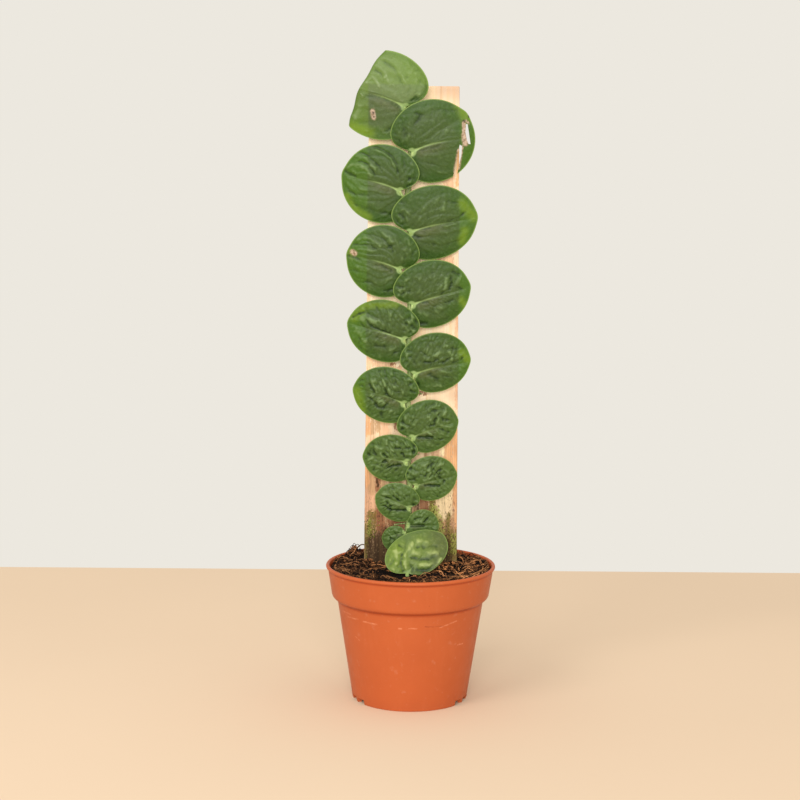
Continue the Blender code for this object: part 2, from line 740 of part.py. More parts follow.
def make_leaves():
    """Every leaf as one solid: its blade fused with its petiole."""
    material = make_material("leaf_green", (0.07, 0.16, 0.035), 0.5)
    for index, leaf in enumerate(CLIMBING_LEAVES, start=1):
        blade = blade_solid(f"leaf_{index:02d}", leaf, fold=index == 1)
        if index == 2:
            combine(blade, tear_cutters(), "DIFFERENCE")
        combine(blade, [climbing_petiole(leaf)], "UNION")
        blade.data.materials.append(material)
        shade(blade, 50)
    young = blade_solid("leaf_16", SOIL_LEAF)
    petiole = tube("petiole", soil_petiole_path(), (PETIOLE_RADIUS,) * 3, PETIOLE_SIDES)
    combine(young, [petiole], "UNION")
    young.data.materials.append(make_material("young_leaf_green", (0.16, 0.26, 0.07), 0.5))
    shade(young, 50)


def tear_cutters():
    """The second leaf's hole and slit, as prisms through the blade."""
    cutters = []
    for outline in (TEAR_HOLE, TEAR_SLIT):
        count = len(outline)
        points = [(x, y, z) for y in TEAR_DEPTH for x, z in outline]
        faces = [tuple(range(count)), tuple(range(count, 2 * count))]
        for index in range(count):
            following = (index + 1) % count
            faces.append((index, following, count + following, count + index))
        cutters.append(add_object("tear", mesh_from(points, faces, "tear")))
    return cutters


def main():
    clear_scene()
    make_pot()
    make_soil()
    make_plank()
    make_stem()
    make_leaves()


main()
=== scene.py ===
"""Looks for the potted shingle plant: fine leaves, stem, soil, board and pot round the CAD frame.

Metres, +Z up, in the CAD frame. Driving sizes are in millimetres, as in the part's source,
and become metres where a mesh is made. Colours of whole numbers are screen colours.
"""
import math
import random
from collections import namedtuple

import bmesh
import bpy
import numpy as np
from mathutils import Matrix, Vector, noise


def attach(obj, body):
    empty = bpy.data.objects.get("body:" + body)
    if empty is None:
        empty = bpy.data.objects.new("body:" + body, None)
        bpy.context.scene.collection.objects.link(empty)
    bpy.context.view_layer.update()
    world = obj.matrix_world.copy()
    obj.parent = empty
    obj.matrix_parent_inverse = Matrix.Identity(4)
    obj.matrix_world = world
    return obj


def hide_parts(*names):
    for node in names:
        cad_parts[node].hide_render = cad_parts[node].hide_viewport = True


MM = 0.001

# Camera and light, found by fitting the pot's rim and base and the board's edges
CAMERA_PLACE = (-8.4, -1183.0, 364.0)
CAMERA_PITCH = 7.28
CAMERA_ROLL = 0.44
CAMERA_LENS = 76.5
SENSOR_WIDTH = 36.0
# In metres
CLIP_RANGE = (0.05, 20.0)
ROOM_COLOR = (0.84, 0.807, 0.738)
ROOM_STRENGTH = 1.0
# Each lamp's name, place, size, power and colour
LAMPS = (
    ("key", (-900.0, -1000.0, 1300.0), 700.0, 8.0, (1.0, 0.97, 0.92)),
    ("front", (-120.0, -3000.0, 870.0), 1400.0, 69.0, (1.0, 0.985, 0.96)),
)
AIM = (0.0, 0.0, 230.0)
FLOOR_HALF_WIDTH = 1500.0
FLOOR_FRONT_Y = -560.0
FLOOR_BACK_Y = 395.0
FLOOR_COLOR = (0.785, 0.614, 0.454)
FLOOR_SHADE = 0.94

# Pot, as in the part's source, with a finer outline
POT_HEIGHT = 96.0
RIM_RADIUS = 60.0
LIP_WIDTH = 2.6
LIP_DEPTH = 3.0
LIP_DEGREES = range(-80, 181, 10)
COLLAR_TOP_RADIUS = 58.6
COLLAR_FOOT_RADIUS = 55.8
COLLAR_FOOT_Z = 75.0
COLLAR_CURL = ((53.8, 72.2), (55.2, 73.5))
BODY_TOP_RADIUS = 51.8
BODY_TOP_Z = 71.0
BASE_RADIUS = 40.8
POT_WALL = 1.5
FLOOR_UNDERSIDE_Z = 4.2
FLOOR_TOP_Z = 5.8
FLOOR_TOP_RADIUS = 40.0
FOOT_RING_WIDTH = 2.6
# How far each corner is rounded, from the floor's underside up to the lip
CORNER_REACHES = (0.4, 0.5, 0.5, 0.4, 0.8, 0.7, 0.7, 0.3)
INSIDE_REACH = 1.0
POT_SIDES = 192
NOTCH_PAIR_ANGLES = (-154, -26, 26, 154)
NOTCH_WIDTH = 8.0
NOTCH_WEB = 2.4
NOTCH_HEIGHT = 3.4
NOTCH_OVERRUN = 1.5
NOTCH_ROUNDING = 0.6
DRAIN_HOLE_RADIUS = 3.5
DRAIN_HOLE_CIRCLE = 26.0
DRAIN_HOLES = 6
DRAIN_SIDES = 32

# Linear colours of the plastic: clear and cloudy, flow lines, scuffs, foot and dust, then the painted shade
# of the creases
POT_TONES = {
    "clear": (0.485, 0.107, 0.0315), "cloudy": (0.418, 0.087, 0.0245), "flow": (0.62, 0.20, 0.09),
    "pale_scuff": (0.70, 0.27, 0.14), "dark_scuff": (0.22, 0.035, 0.012), "foot": (0.30, 0.07, 0.03),
    "dust": (0.60, 0.33, 0.22), "crease": (0.30, 0.035, 0.008),
}
# Heights between which the painted shade in the creases below lip and collar fades in and out
LIP_CREASE_Z = (91.8, 92.6, 93.4, 94.0)
COLLAR_CREASE_Z = (69.0, 71.2, 72.2, 73.6)

# Scuffs on the pot's front, as turn in degrees and height of both ends, then half width
PALE_SCUFFS = (
    (-158, 66.4, -144, 66.7, 0.5), (-149, 63.9, -135, 64.5, 0.55), (-129.5, 64, -116.5, 63.6, 0.6),
    (-98.6, 62.1, -96.6, 62.1, 0.7), (-90.8, 62.3, -84.6, 62.3, 0.6), (-66.2, 62, -51, 65.2, 0.55),
    (-46.4, 46.9, -40.2, 46.9, 0.6), (-142.4, 51.5, -136.4, 49.2, 0.45),
)
DARK_SCUFFS = (
    (-78, 63.4, -62.5, 62.8, 0.5), (-76.8, 79.1, -76.7, 79.1, 0.45), (-87, 0.9, -86.9, 2, 0.4),
    (-82.2, 0.6, -82.1, 1.6, 0.4),
)

# Soil, with the source's swell, clods, clump and hollow, and a fine crumb on top
CLEARANCE = 0.35
SOIL_TOP_Z = 90.6
SOIL_SWELL = 0.5
SOIL_SWELL_PER_MM = (0.13, 0.17, 0.05)
SOIL_EDGE_RISE = 3.2
SOIL_CLODS = 30
SOIL_CLOD_HEIGHT = (0.8, 2.4)
SOIL_CLOD_RADIUS = (3.0, 6.5)
SOIL_CLOD_REACH = 52.0
SOIL_SEED = 7
CLUMP_X, CLUMP_Y, CLUMP_RADIUS, CLUMP_RISE = -41.0, 36.0, 6.5, 5.0
HOLLOW_X, HOLLOW_Y, HOLLOW_LONG, HOLLOW_WIDE, HOLLOW_Z = 6.0, -14.0, 27.0, 9.0, 90.2
SOIL_RINGS = 100
SOIL_SIDES = 260
SOIL_REACH = 55.6
CRUMB_SCALES = ((0.16, 1.1), (0.42, 0.75), (1.1, 0.40))
FRONT_CLODS = ((11.0, -27.0, 3.4, 3.2), (17.0, -26.0, 3.0, 2.6), (4.0, -28.5, 2.6, 1.8),
               (22.0, -24.5, 3.0, 2.4))
FOOT_RISE = 2.4
FOOT_RISE_REACH = 3.4
FIBRE_SEED = 21
FIBRES = 950
FIBRE_LENGTH = (4.0, 15.0)
FIBRE_RADIUS = (0.18, 0.55)
FIBRE_LIFT = 2.8
FIBRE_BEND = 1.9
FIBRE_STEPS = 3
FIBRE_TONE_POWER = 2.5
# Tangles that stand up at the back: centre x and y, spread, strands, and how high they lift
TANGLES = ((-40.0, 34.0, 7.0, 20, 5.0), (-48.0, 20.0, 6.0, 12, 4.0), (45.0, 27.0, 9.0, 14, 5.5))
TWIG = ((-47.0, 30.0, 93.6), (-40.0, 34.0, 98.6), (-35.5, 37.0, 101.4), (-31.0, 38.5, 99.6))
TWIG_RADII = (0.6, 0.31875)
TWIG_TONE = 0.1
CHIP_SEED = 22
CHIPS = 1900
CHIP_SIZE = (0.7, 3.4)
CHIP_TONE_POWER = 2.8
HEAP_CHIPS = 80
HEAP_CHIP_SIZE = (0.8, 2.4)
FOOT_CHIPS = 330
FOOT_CHIP_SIZE = (0.7, 2.4)
FOOT_CHIP_REACH = 35
FOOT_CHIP_SPREAD = 2.2
# How dry the loose bits are in the middle, how far that swings, and over which distance
DRYNESS, DRYNESS_SWING, DRYNESS_BLEND = 0.80, 0.35, 25
# Kept clear of loose bits: a margin round the board, and the ground below the young leaf,
# as its lowest and highest x and y
BOARD_MARGIN = 0.5
YOUNG_LEAF_GROUND = (-20, 32, -22, -5)
# Each soil material: its dark, its light and its speckled colour
SOIL_TONES = {
    "peat": ((10, 5, 4), (84, 50, 34), (84, 50, 34)),
    "peat_fibre": ((22, 11, 8), (240, 168, 110), (120, 74, 50)),
    "peat_crumb": ((16, 8, 6), (220, 148, 94), (96, 58, 38)),
}

# Board
PLANK_FRONT_Y = 19.0
PLANK_THICKNESS = 10.0
PLANK_FOOT_Z = 48.0
PLANK_TOP_Z = 431.0
PLANK_FOOT_WIDTH = 67.6
PLANK_TOP_WIDTH = 63.0
PLANK_EDGE = 0.6
PLANK_LEVELS = 230
PLANK_ACROSS = 60
PLANK_THROUGH = 10
GRAIN_RELIEF = 0.22
WORN_BELOW_Z = 215.0
WORN_BLEND = 25.0
SEAM_X = 18.5
SEAM_FROM_Z = 398.0
# Painted light: near the leaves the board's face is painted lighter, over this reach and by up to these
# factors, against the shade that the leaves cast
GAP_REACH = 12.0
GAP_LIGHT = (1.62, 1.74, 1.74)
MOSS_SEED = 31
MOSS_GRAINS = 420
MOSS_SIZE = (0.4, 1.1)

# Screen colours of clean wood with its warmer parts, rings, grain and seam, of damp and wet
# wood with their streaks, and of worn grain, grime and dried algae
WOOD_TONES = {
    "clean": (209, 182, 157), "warm": (203, 170, 142), "ring": (208, 160, 118), "grain": (196, 146, 104),
    "seam": (176, 128, 90), "damp": (208, 166, 128), "damp_streak": (150, 108, 78), "wet": (110, 86, 46),
    "wet_streak": (38, 28, 17), "worn": (134, 90, 60), "grime": (46, 32, 20), "dried": (168, 140, 100),
}
MOSS_TONES = ((52, 44, 22), (132, 132, 56), (150, 150, 78))

# Tones that lie on the board's face, in the order of painting, and where each one lies:
# its name, x and z of both ends of the patch, and the half width
PLANK_TONES = {
    "pink": (226, 172, 136), "tan": (196, 152, 112), "orange": (228, 168, 118), "pale": (252, 224, 178),
    "brown": (142, 88, 58), "olive": (124, 106, 50), "moss": (166, 166, 84), "dark": (60, 42, 24),
}
GRAINY_TONES = ("olive", "moss", "dark")
# The flat brown and dark strokes near x -15 to 10 at heights 120 to 125, 201 to 204, 214 to 216 and 235 to
# 236 are painted shadow under the leaves' lower edges
PLANK_PATCHES = (
    ("orange", 30.6, 386, 30.8, 362, 0.9), ("pink", 24, 372, 27, 352, 4), ("pink", 18, 312, 26, 308, 4),
    ("pink", -31, 290, -31, 232, 1.2), ("pink", 31.4, 270, 31.5, 205, 0.9),
    ("pink", -26, 238, -12, 232, 4), ("brown", -15, 236, -8, 235, 0.8),
    ("brown", 3, 216, 10, 214.5, 1.3), ("orange", -31.5, 207, -31.5, 186, 1.8),
    ("tan", -28, 204, -28, 186, 1.2), ("tan", -24.6, 202, -24.2, 188, 1.7),
    ("pink", -19, 200, -19, 188, 3), ("brown", -15, 203.5, -8.5, 201.5, 1.8),
    ("brown", -11.5, 200, -10.5, 190, 1.7), ("pink", 16, 178, 18, 172, 3),
    ("pale", 21.8, 181, 21.8, 172, 1.3), ("orange", 25.5, 183, 26, 165, 2.6),
    ("orange", 31.2, 192, 31.5, 160, 1.9), ("orange", -32, 166, -32, 150, 1.7),
    ("tan", -28, 165, -28, 145, 2.6), ("pink", -29, 152, -29, 126, 2.6),
    ("brown", -24.2, 159, -23.8, 145, 1.6), ("dark", -24.2, 154, -24, 148, 0.8),
    ("tan", -20, 153, -20, 147, 2.2), ("pink", -32.2, 145, -32.2, 120, 1.3),
    ("pink", -24, 140, -24, 128, 2.2), ("tan", -22, 130, -12, 118, 4.5),
    ("brown", -23.5, 126, -18, 112, 4), ("brown", -14, 121.5, -5, 120, 3),
    ("olive", -28.2, 127, -28.4, 112, 2.6), ("moss", -29.6, 122, -30, 113, 1.3),
    ("olive", -32.2, 117, -32.2, 92, 1.6), ("dark", -29.5, 108, -29, 86, 2.4),
    ("dark", -24, 109, -23, 86, 5), ("dark", -11, 124.5, -5, 122.5, 1.2), ("dark", -14, 112, -10, 86, 7),
    ("orange", 31, 152, 31.6, 134, 1.8), ("pale", 23.5, 150, 24, 130, 5.4),
    ("brown", 8, 138.5, 8.4, 131, 1.8), ("dark", 4.6, 137.5, 5.2, 132, 1.4),
    ("brown", 11.8, 137.5, 12, 131, 1.4), ("olive", 15.2, 138, 15.6, 127, 2),
    ("moss", 17, 131, 20.6, 116, 2.8), ("tan", 23.4, 131, 23.6, 110, 2),
    ("olive", 27.2, 127, 27.2, 108, 1.2), ("tan", 29.8, 130, 29.8, 112, 1.2),
    ("orange", 32.2, 136, 32.4, 110, 1), ("olive", 28.6, 114, 30.2, 98, 4.2),
    ("moss", 31, 112, 31.4, 101, 2), ("dark", 25, 106, 27.2, 86, 3.6), ("dark", 8, 118, 14, 86, 9),
    ("tan", 32.4, 100, 32.4, 88, 0.9),
)

# Stem
STEM_RADIUS = 2.3
STEM_TIP_RADIUS = 0.8
STEM_X = -2.0
STEM_Y = PLANK_FRONT_Y - CLEARANCE - STEM_RADIUS
STEM_FOOT_Z = 62.0
STEM_TOP_Z = 430.0
STEM_BEND = 0.3
STEM_STRAIGHT = 8.0
STEM_TIP_LENGTH = 6.0
STEM_STEPS = 10
STEM_SIDES = 18
STEM_WAIST = 0.10
ROOT_RADIUS = 0.6
ROOT_TIP_RADIUS = 0.35
ROOT_LENGTH = (7.0, 15.0)
ROOT_BELOW_NODE = (3.0, 8.0)
ROOT_SLOPE = (-0.2, 0.5)
ROOT_BOW = 1.2
ROOT_SEED = 3
ROOT_SIDES = 8
ROOT_STEPS = 12
# The dark and the light of green skins, and their brownish flecks
GREEN_TONES = {"stem_skin": ((112, 132, 74), (170, 186, 120)), "petiole": ((150, 174, 98), (190, 210, 140))}
GREEN_FLECK = (120, 104, 60)

# Leaves
BLADE_THICKNESS = 0.6
BLADE_RINGS = 42
BLADE_SIDES = 180
FOLDED_RINGS = (20, 12, 12)
FOLDED_SIDES = 190
BLADE_DOME = 1.8
EDGE_WAVE = 0.45
EDGE_WAVES = 3
RIB_GROOVE = 0.8
RIB_GROOVE_WIDTH = 5.0
TIP_DROOP = 0.0012
SINUS_SPREAD = 0.40
TIP_SPREAD = 0.16
TIP_POINT = 0.03
OUTLINE_TRIM = 0.998
PETIOLE_RADIUS = 1.3
PETIOLE_TIP_RADIUS = 1.0
PETIOLE_DROP = 5.0
PETIOLE_STRAIGHT = 0.6
PETIOLE_BOW = 0.6
PETIOLE_SIDES = 14
BASE_SHARE = 0.96

FOLDED_LEAF = 1
TORN_LEAF = 2

Leaf = namedtuple("Leaf", "side base_x base_y base_z axis length back up down rib lean")
BASE_Y = 9.0
LEAN = 10.0
CLIMBING_LEAVES = (
    Leaf(-1, -6.1, BASE_Y - 2.0, 415.6, 5, 50.0, 17.0, 37.1, 23.6, 15, LEAN),
    Leaf(1, -1.5, BASE_Y, 385.0, 16, 45.8, 15.0, 32.2, 24.8, 20, LEAN),
    Leaf(-1, -9.2, BASE_Y, 358.0, 17, 42.0, 14.5, 28.5, 26.0, 0, LEAN),
    Leaf(1, -2.7, BASE_Y, 329.4, 14, 48.5, 14.5, 29.0, 22.5, 0, LEAN),
    Leaf(-1, -8.8, BASE_Y, 303.4, 17, 39.0, 13.5, 28.0, 23.0, 0, LEAN),
    Leaf(1, -0.6, BASE_Y, 278.9, 19, 43.0, 13.5, 27.0, 20.5, 0, LEAN),
    Leaf(-1, -5.2, BASE_Y, 254.2, 17.2, 42.0, 12.0, 24.0, 20.0, 0, LEAN),
    Leaf(1, 1.1, BASE_Y, 229.8, 15.5, 41.6, 9.5, 26.0, 16.8, 0, LEAN),
    Leaf(-1, -5.3, BASE_Y, 208.8, 16.5, 37.7, 11.0, 23.0, 17.3, 0, LEAN),
    Leaf(1, 0.2, BASE_Y, 184.6, 22, 35.3, 9.5, 23.0, 15.0, 0, LEAN),
    Leaf(-1, -3.1, BASE_Y, 167.2, 7, 31.4, 10.5, 19.0, 16.0, 0, LEAN),
    Leaf(1, 2.8, BASE_Y, 149.9, 17, 31.0, 7.0, 19.0, 14.0, 0, LEAN),
    Leaf(-1, -0.7, BASE_Y, 134.0, 20, 26.0, 7.5, 15.5, 13.0, 0, LEAN),
    Leaf(1, -2.6, BASE_Y, 121.6, -10, 22.5, 1.0, 14.0, 12.0, 10, LEAN),
    Leaf(-1, -4.1, BASE_Y, 116.8, -25, 18.0, 1.5, 8.0, 12.0, 10, LEAN),
)
SOIL_LEAF = Leaf(1, -2.6, -16.0, 92.3, 19, 33.6, 12.4, 25.0, 4.2, 28, -22.0)
SOIL_LEAF_FOOT_Z = 68.0
SOIL_PETIOLE_SLANT = 2.0

# Each leaf's skin: the midrib's turn from the leaf's axis in degrees and its bow, then the
# strength of long pleats, blisters and small pebbles, in millimetres
Look = namedtuple("Look", "vein bow pleat blister pebble")
LOOKS = tuple(Look(*values) for values in (
    (13, 1.9, 0.20, 0.04, 0.06), (-1, 2.0, 0.14, 0.06, 0.10), (-1, 1.5, 0.22, 0.04, 0.10),
    (-1, 1.5, 0.14, 0.10, 0.12), (0, 1.2, 0.22, 0.08, 0.11), (-2, 0.9, 0.10, 0.20, 0.13),
    (-1, 0.8, 0.10, 0.22, 0.20), (-2, 1.4, 0.10, 0.28, 0.18), (2, 1.1, 0.06, 0.34, 0.20),
    (-1, 1.0, 0.05, 0.34, 0.20), (2, 0.6, 0.05, 0.40, 0.24), (-2, 0.8, 0.05, 0.40, 0.24),
    (3, 0.5, 0.05, 0.38, 0.22), (10, 0.0, 0.05, 0.36, 0.22), (10, 0.0, 0.05, 0.32, 0.20),
    (28, 0.0, 0.03, 0.07, 0.13),
))
PLEAT_STEP = math.radians(24)
BLISTER_LONG = 5.2
BLISTER_WIDE = 3.3
BLISTER_SLOPE = 0.62
BLISTER_CREASE = 0.42
BLISTER_ROUNDING = 0.7
BLISTER_LEVEL = 0.55
PEBBLE_SPACING = 2.4
RIB_LINE_DEPTH = 0.28
RIB_LINE_WIDTH = 0.8
RIB_BOW_PEAK = 6.75
FIRST_SMALL_LEAF = 9
FAINT_RIB = 0.4
# A leaf this long has veins and pale parts of full width
FULL_LEAF = 60
FOLD_DEPTH_SHARE = 0.62
FOLD_WANDER = 0.7
FOLD_SHARES = (0.9, 0.75, 0.75, 0.9, 0.75, 0.9, 0.85, 0.9, 0.95, 0.95, 1.0, 1.0, 1.0, 1.0, 1.0, 0.85)
YOUNG_FOLD_WIDTH = 1.35

# Folds seen on each leaf: the height of the ridge or, if below zero, the crease, the half
# width, and then x and z of each place on the line that it runs on
FOLDS = {
    1: (
        (0.7, 1.1, -33, 432.5, -29.5, 435.5, -26.5, 433.5, -24.5, 430),
        (0.7, 0.8, -22.5, 434, -19.5, 436.5), (0.45, 1.1, -27, 443.5, -23, 441.5, -19.5, 437, -17, 431),
        (-0.5, 1, -27, 440.5, -24, 438.5, -21.5, 433.5),
        (0.4, 0.8, -25, 449, -19, 447.5, -13, 444, -8.5, 437, -5.5, 430.5),
        (-0.4, 1.2, -20, 446, -14.5, 442, -10, 435, -8, 429), (0.35, 0.6, -15, 431, -11, 425, -8, 419),
        (0.35, 0.6, -9, 431, -7.5, 425, -7, 419.5), (0.3, 0.6, -21, 430, -14, 424.5, -9, 419.5),
        (-1.1, 1.4, -2, 420.5, 2, 422.5), (0.4, 0.9, 1, 425, 3, 424.5),
        (0.7, 0.5, -37.2, 424.5, -34.8, 422.8), (0.35, 0.8, -36, 427, -33, 425.8, -29, 425.6),
        (-0.55, 1.8, -33, 423, -24, 422.5, -17, 419.5, -11, 416.5), (0.45, 2.4, -41, 408, -38, 416),
        (-0.35, 0.8, -38, 404.5, -30, 406, -22, 405), (0.5, 0.9, -22, 398, -16, 399),
        (-0.9, 1.2, -19, 400, -14, 402),
    ),
    2: (
        (-0.8, 1.3, 1, 411.5, 4.5, 411, 3, 407.5, 1, 405), (0.35, 1.2, 5, 413.5, 10, 415.5, 17, 416.5),
        (-0.4, 1, 17, 414, 24, 413.5, 30, 414.5), (0.5, 1.5, 21.5, 397, 22.5, 401),
        (0.4, 1, 1.5, 403.5, 3, 405.5), (0.45, 0.8, -7, 403, -4, 402), (-0.5, 0.9, -9, 399, -5, 400.5),
        (0.3, 0.5, 1.5, 391, -0.5, 397), (0.3, 0.5, 3.5, 391.5, 3, 399), (0.3, 0.5, 7, 392.5, 11, 400),
        (0.3, 0.5, 12, 393.5, 17, 399), (-0.6, 1.3, 4, 386.5, 10, 388, 17, 389.3),
        (-0.3, 1, 8, 379, 16, 377, 24, 378), (0.3, 1.2, 6, 382.5, 15, 381.5, 25, 383),
        (0.35, 1, 8, 374, 15, 371.5, 22, 371),
    ),
    3: (
        (-0.9, 0.9, -31, 389, -25, 388, -19.5, 385.3, -15, 381.5, -12, 376.5, -11, 371.5),
        (0.8, 1, -27, 386.3, -21, 384.3, -16, 380.5, -13.3, 375.5),
        (-0.8, 0.8, -41, 385, -34.5, 384.3, -30, 380.5, -26, 377.5, -22.5, 372.5),
        (0.7, 1.1, -40, 382.3, -34.5, 381.3, -30.5, 377.5, -27, 373),
        (-0.8, 0.8, -38, 378.5, -33, 377, -29.5, 373.5, -27, 369),
        (0.9, 1.3, -47, 374.5, -41.5, 376.3, -36, 375.3, -32, 372, -30, 369),
        (-1, 1.1, -48, 372.5, -44.5, 370, -40.5, 368.5), (0.9, 0.8, -42.5, 372, -40.5, 370.5),
        (0.5, 0.8, -46, 367, -42, 366), (-0.9, 1.2, -4.5, 362.5, 0, 362, 3, 364.5),
        (0.7, 0.9, -5, 369.5, -2.5, 369), (0.5, 0.8, -7.5, 367, -5.5, 366),
        (-0.7, 0.8, -3, 366.5, 1, 367.5), (-0.6, 1, -48, 361, -44, 357.5, -38, 355.5, -32, 355),
        (0.4, 1.1, -46, 363.5, -40, 360, -33, 358.5),
        (-0.7, 1, -45, 353.5, -41, 349.5, -36, 347.3, -28, 346),
        (0.45, 1, -43, 355.5, -37, 351.5, -28, 349.5), (-0.8, 1.4, -22, 343, -15, 342.5),
    ),
    4: (
        (-0.8, 1.2, 5, 332.5, 10.5, 333.3), (-0.9, 1.2, 0, 327.5, 5.5, 326.5),
        (-0.6, 1, 24, 351.5, 31, 350.5), (-0.8, 0.9, 32, 341, 34, 342, 36, 344),
        (0.6, 1.5, 20.5, 345.5, 21.5, 350), (0.4, 0.8, 7, 346, 9, 348),
        (0.45, 0.8, -7, 346, -4, 344, -2.5, 341), (-0.6, 0.8, -10, 342, -6, 340),
        (-0.6, 0.8, -11, 337, -8, 335), (0.35, 0.6, 6, 335.5, 9, 340), (0.35, 0.6, 13, 336.5, 19, 341),
        (-0.4, 0.8, 23, 337, 30, 340), (0.4, 0.8, 22, 334, 30, 336),
        (-0.35, 0.8, 8, 322, 20, 321, 30, 324),
    ),
    5: (
        (-0.8, 0.8, -42, 321, -36, 321.3, -30, 320.5, -26, 318),
        (0.7, 1.2, -39, 324.5, -33, 325.5, -27, 323.5, -23, 320),
        (-0.7, 0.8, -35, 328.5, -28, 328, -21, 325.3, -17, 321.5, -14, 316.5),
        (0.7, 1, -22, 329, -17, 326, -14, 322.5), (-0.9, 0.9, -17.5, 319, -13.5, 321.5),
        (0.5, 1.3, -38, 318, -32, 318.5, -28, 316), (-0.9, 1.1, -45, 313, -38, 310.8),
        (-0.6, 0.9, -44, 303.5, -38, 302), (0.4, 1, -43, 306, -37, 305, -30, 304),
        (-0.6, 0.9, -41, 295.5, -36, 294.3, -30, 294.5), (0.5, 1.3, -22, 295, -15, 297.5),
        (-0.9, 1.3, -20, 288.5, -13, 290), (-0.6, 1.2, -26, 307, -20, 305.5, -15, 303),
        (0.5, 0.8, -7, 318, -3, 317), (-0.7, 0.8, -3, 314.5, 0, 315),
    ),
    6: (
        (0.8, 1.4, 23.5, 298, 23, 294, 22, 290), (-0.9, 1, 26, 299, 27, 295, 25, 290.5),
        (0.8, 1.2, 33, 299, 31, 294.5), (-0.7, 1, 28, 303, 32, 300.5), (-0.8, 1, 31, 292, 34.5, 290.5),
        (0.6, 1, 18, 290, 20, 293), (-0.6, 0.9, 20, 286.5, 23, 290), (0.8, 0.9, -9.5, 289, -8, 288),
        (-0.8, 0.8, -10, 291, -6, 292), (-0.7, 0.8, -8, 286, -5, 288), (0.6, 0.9, -6, 294.5, -5, 297),
        (0.4, 0.9, 2, 299, 4, 297), (-0.7, 1.4, 4, 281, 10, 281.5), (0.5, 1.2, 25, 286, 32, 288),
        (-0.6, 1, 22, 281, 28, 283), (0.4, 1.2, 16, 276, 24, 278), (-0.8, 1.4, 5, 266, 10, 266.5),
        (0.5, 1.2, 4, 273.5, 10, 272),
    ),
    7: (
        (-0.7, 1.2, -41.5, 270.5, -38, 272.7, -33, 273.5, -28, 272, -25.5, 270),
        (1.1, 2.2, -36, 269.5, -31, 269.5, -27, 267.5), (0.6, 1.3, -23.5, 268, -21.5, 265.5),
        (-1.1, 0.9, -32.5, 268, -30, 265, -26, 262.8, -21, 261, -16, 259.5),
        (-0.7, 0.9, -37, 268.5, -36, 265.5, -34, 263.5), (0.6, 1.6, -40, 262, -37, 258, -33, 253),
        (0.4, 1.2, -27, 254, -20, 253), (-0.5, 1, -38, 256, -34, 251), (0.5, 1.1, -15, 247, -12, 249),
        (-0.7, 1, -13, 245, -9, 247), (-0.5, 0.9, -26, 250, -20, 249.5),
        (0.7, 1.1, -17, 274, -16, 271.5), (0.5, 0.9, -9, 272, -7, 270), (0.5, 0.8, -4, 269.5, -3, 267.5),
        (-0.6, 0.8, -6, 268, -4.5, 266), (-0.8, 1.1, 0, 265, 3, 267),
    ),
    8: (
        (0.8, 1.2, 14, 243, 19, 245.5), (0.7, 1.1, 26.5, 246, 27.5, 241),
        (-0.9, 0.9, 9, 239.5, 14, 239.3, 18, 241), (-0.8, 0.9, 19, 238.5, 23.5, 239.5, 26, 242),
        (-0.6, 1, 29.5, 239.5, 33, 240.3, 35, 241.6), (0.7, 1.1, 31, 243.5, 36, 245),
        (0.5, 1, 10, 248, 13, 250), (-0.6, 0.8, 6, 246, 9, 245), (0.6, 0.9, 22, 250, 25, 251),
        (-0.7, 0.9, 27, 250, 30, 248), (-0.8, 1, 14, 228.5, 18, 227.5), (-0.5, 1, 9, 229.5, 14, 231),
        (0.45, 1, 20, 233, 27, 231), (-0.5, 0.8, 22, 229, 28, 228), (-0.9, 1.2, 3, 220, 4.5, 224),
        (0.45, 1.2, 10, 222, 20, 221.5),
    ),
    9: (
        (1, 1.1, -28, 225.5, -26.5, 221, -25, 217.5), (-1.1, 0.9, -29.5, 223.5, -28, 219.5, -26, 217),
        (0.7, 1, -20, 226, -19, 222), (-1, 0.9, -19.5, 219, -17, 215, -13, 212),
        (0.7, 1, -16.5, 219, -14, 216), (-1.1, 1.1, -26, 210, -24.5, 207.3, -20.5, 206.5, -17, 208.5),
        (1, 1.2, -24, 211.5, -20, 210.5), (-0.7, 0.8, -31, 214, -28, 212),
        (0.6, 0.9, -29, 216, -27, 213.5), (0.5, 1, -13, 222, -10, 221), (-0.6, 0.8, -12, 218.5, -8, 218),
        (0.5, 1, -20, 203.5, -14, 204), (-0.5, 0.8, -22, 201.5, -18, 204),
    ),
    10: (
        (-1.3, 1, 5, 185.4, 10, 185.2, 15, 185.4), (0.9, 1.1, 8, 189.5, 14, 187.5),
        (-1.1, 1, 12, 194, 15, 194.5, 17, 198, 19, 202), (1.1, 1.2, 18, 203, 18.5, 199, 17.5, 196.5),
        (0.9, 1.1, 12, 200, 13.5, 197.5), (0.7, 1, 22, 201.5, 24, 203.5),
        (-0.9, 0.9, 22, 198.5, 26, 198), (0.8, 0.9, 20, 194.5, 27, 192),
        (-0.7, 0.8, 20, 191.5, 26, 189.5), (0.6, 0.9, 15, 207.5, 19, 208), (-0.6, 0.8, 14, 205, 19, 205),
        (0.5, 0.8, 3, 205, 6, 207), (0.5, 1, 18, 188.5, 23, 187), (-0.5, 0.8, 17, 183.5, 22, 184.5),
    ),
    11: (
        (-1.1, 1.1, -16, 164, -12, 164.7, -8, 165.3), (-0.9, 0.9, -21.5, 164.5, -20, 167, -18, 168.5),
        (-1, 0.9, -27.5, 176, -25, 172.5), (-1, 0.9, -20, 173.5, -17, 170.5),
        (1, 0.9, -25, 178.5, -21.5, 177), (0.9, 0.8, -17.5, 183, -17.3, 180.5),
        (0.8, 0.8, -12.5, 181.5, -10.5, 180.5), (0.8, 0.9, -22, 173, -20, 170.5),
        (0.7, 0.9, -15, 176.5, -12, 175), (-0.8, 0.8, -12, 178, -8, 177.5),
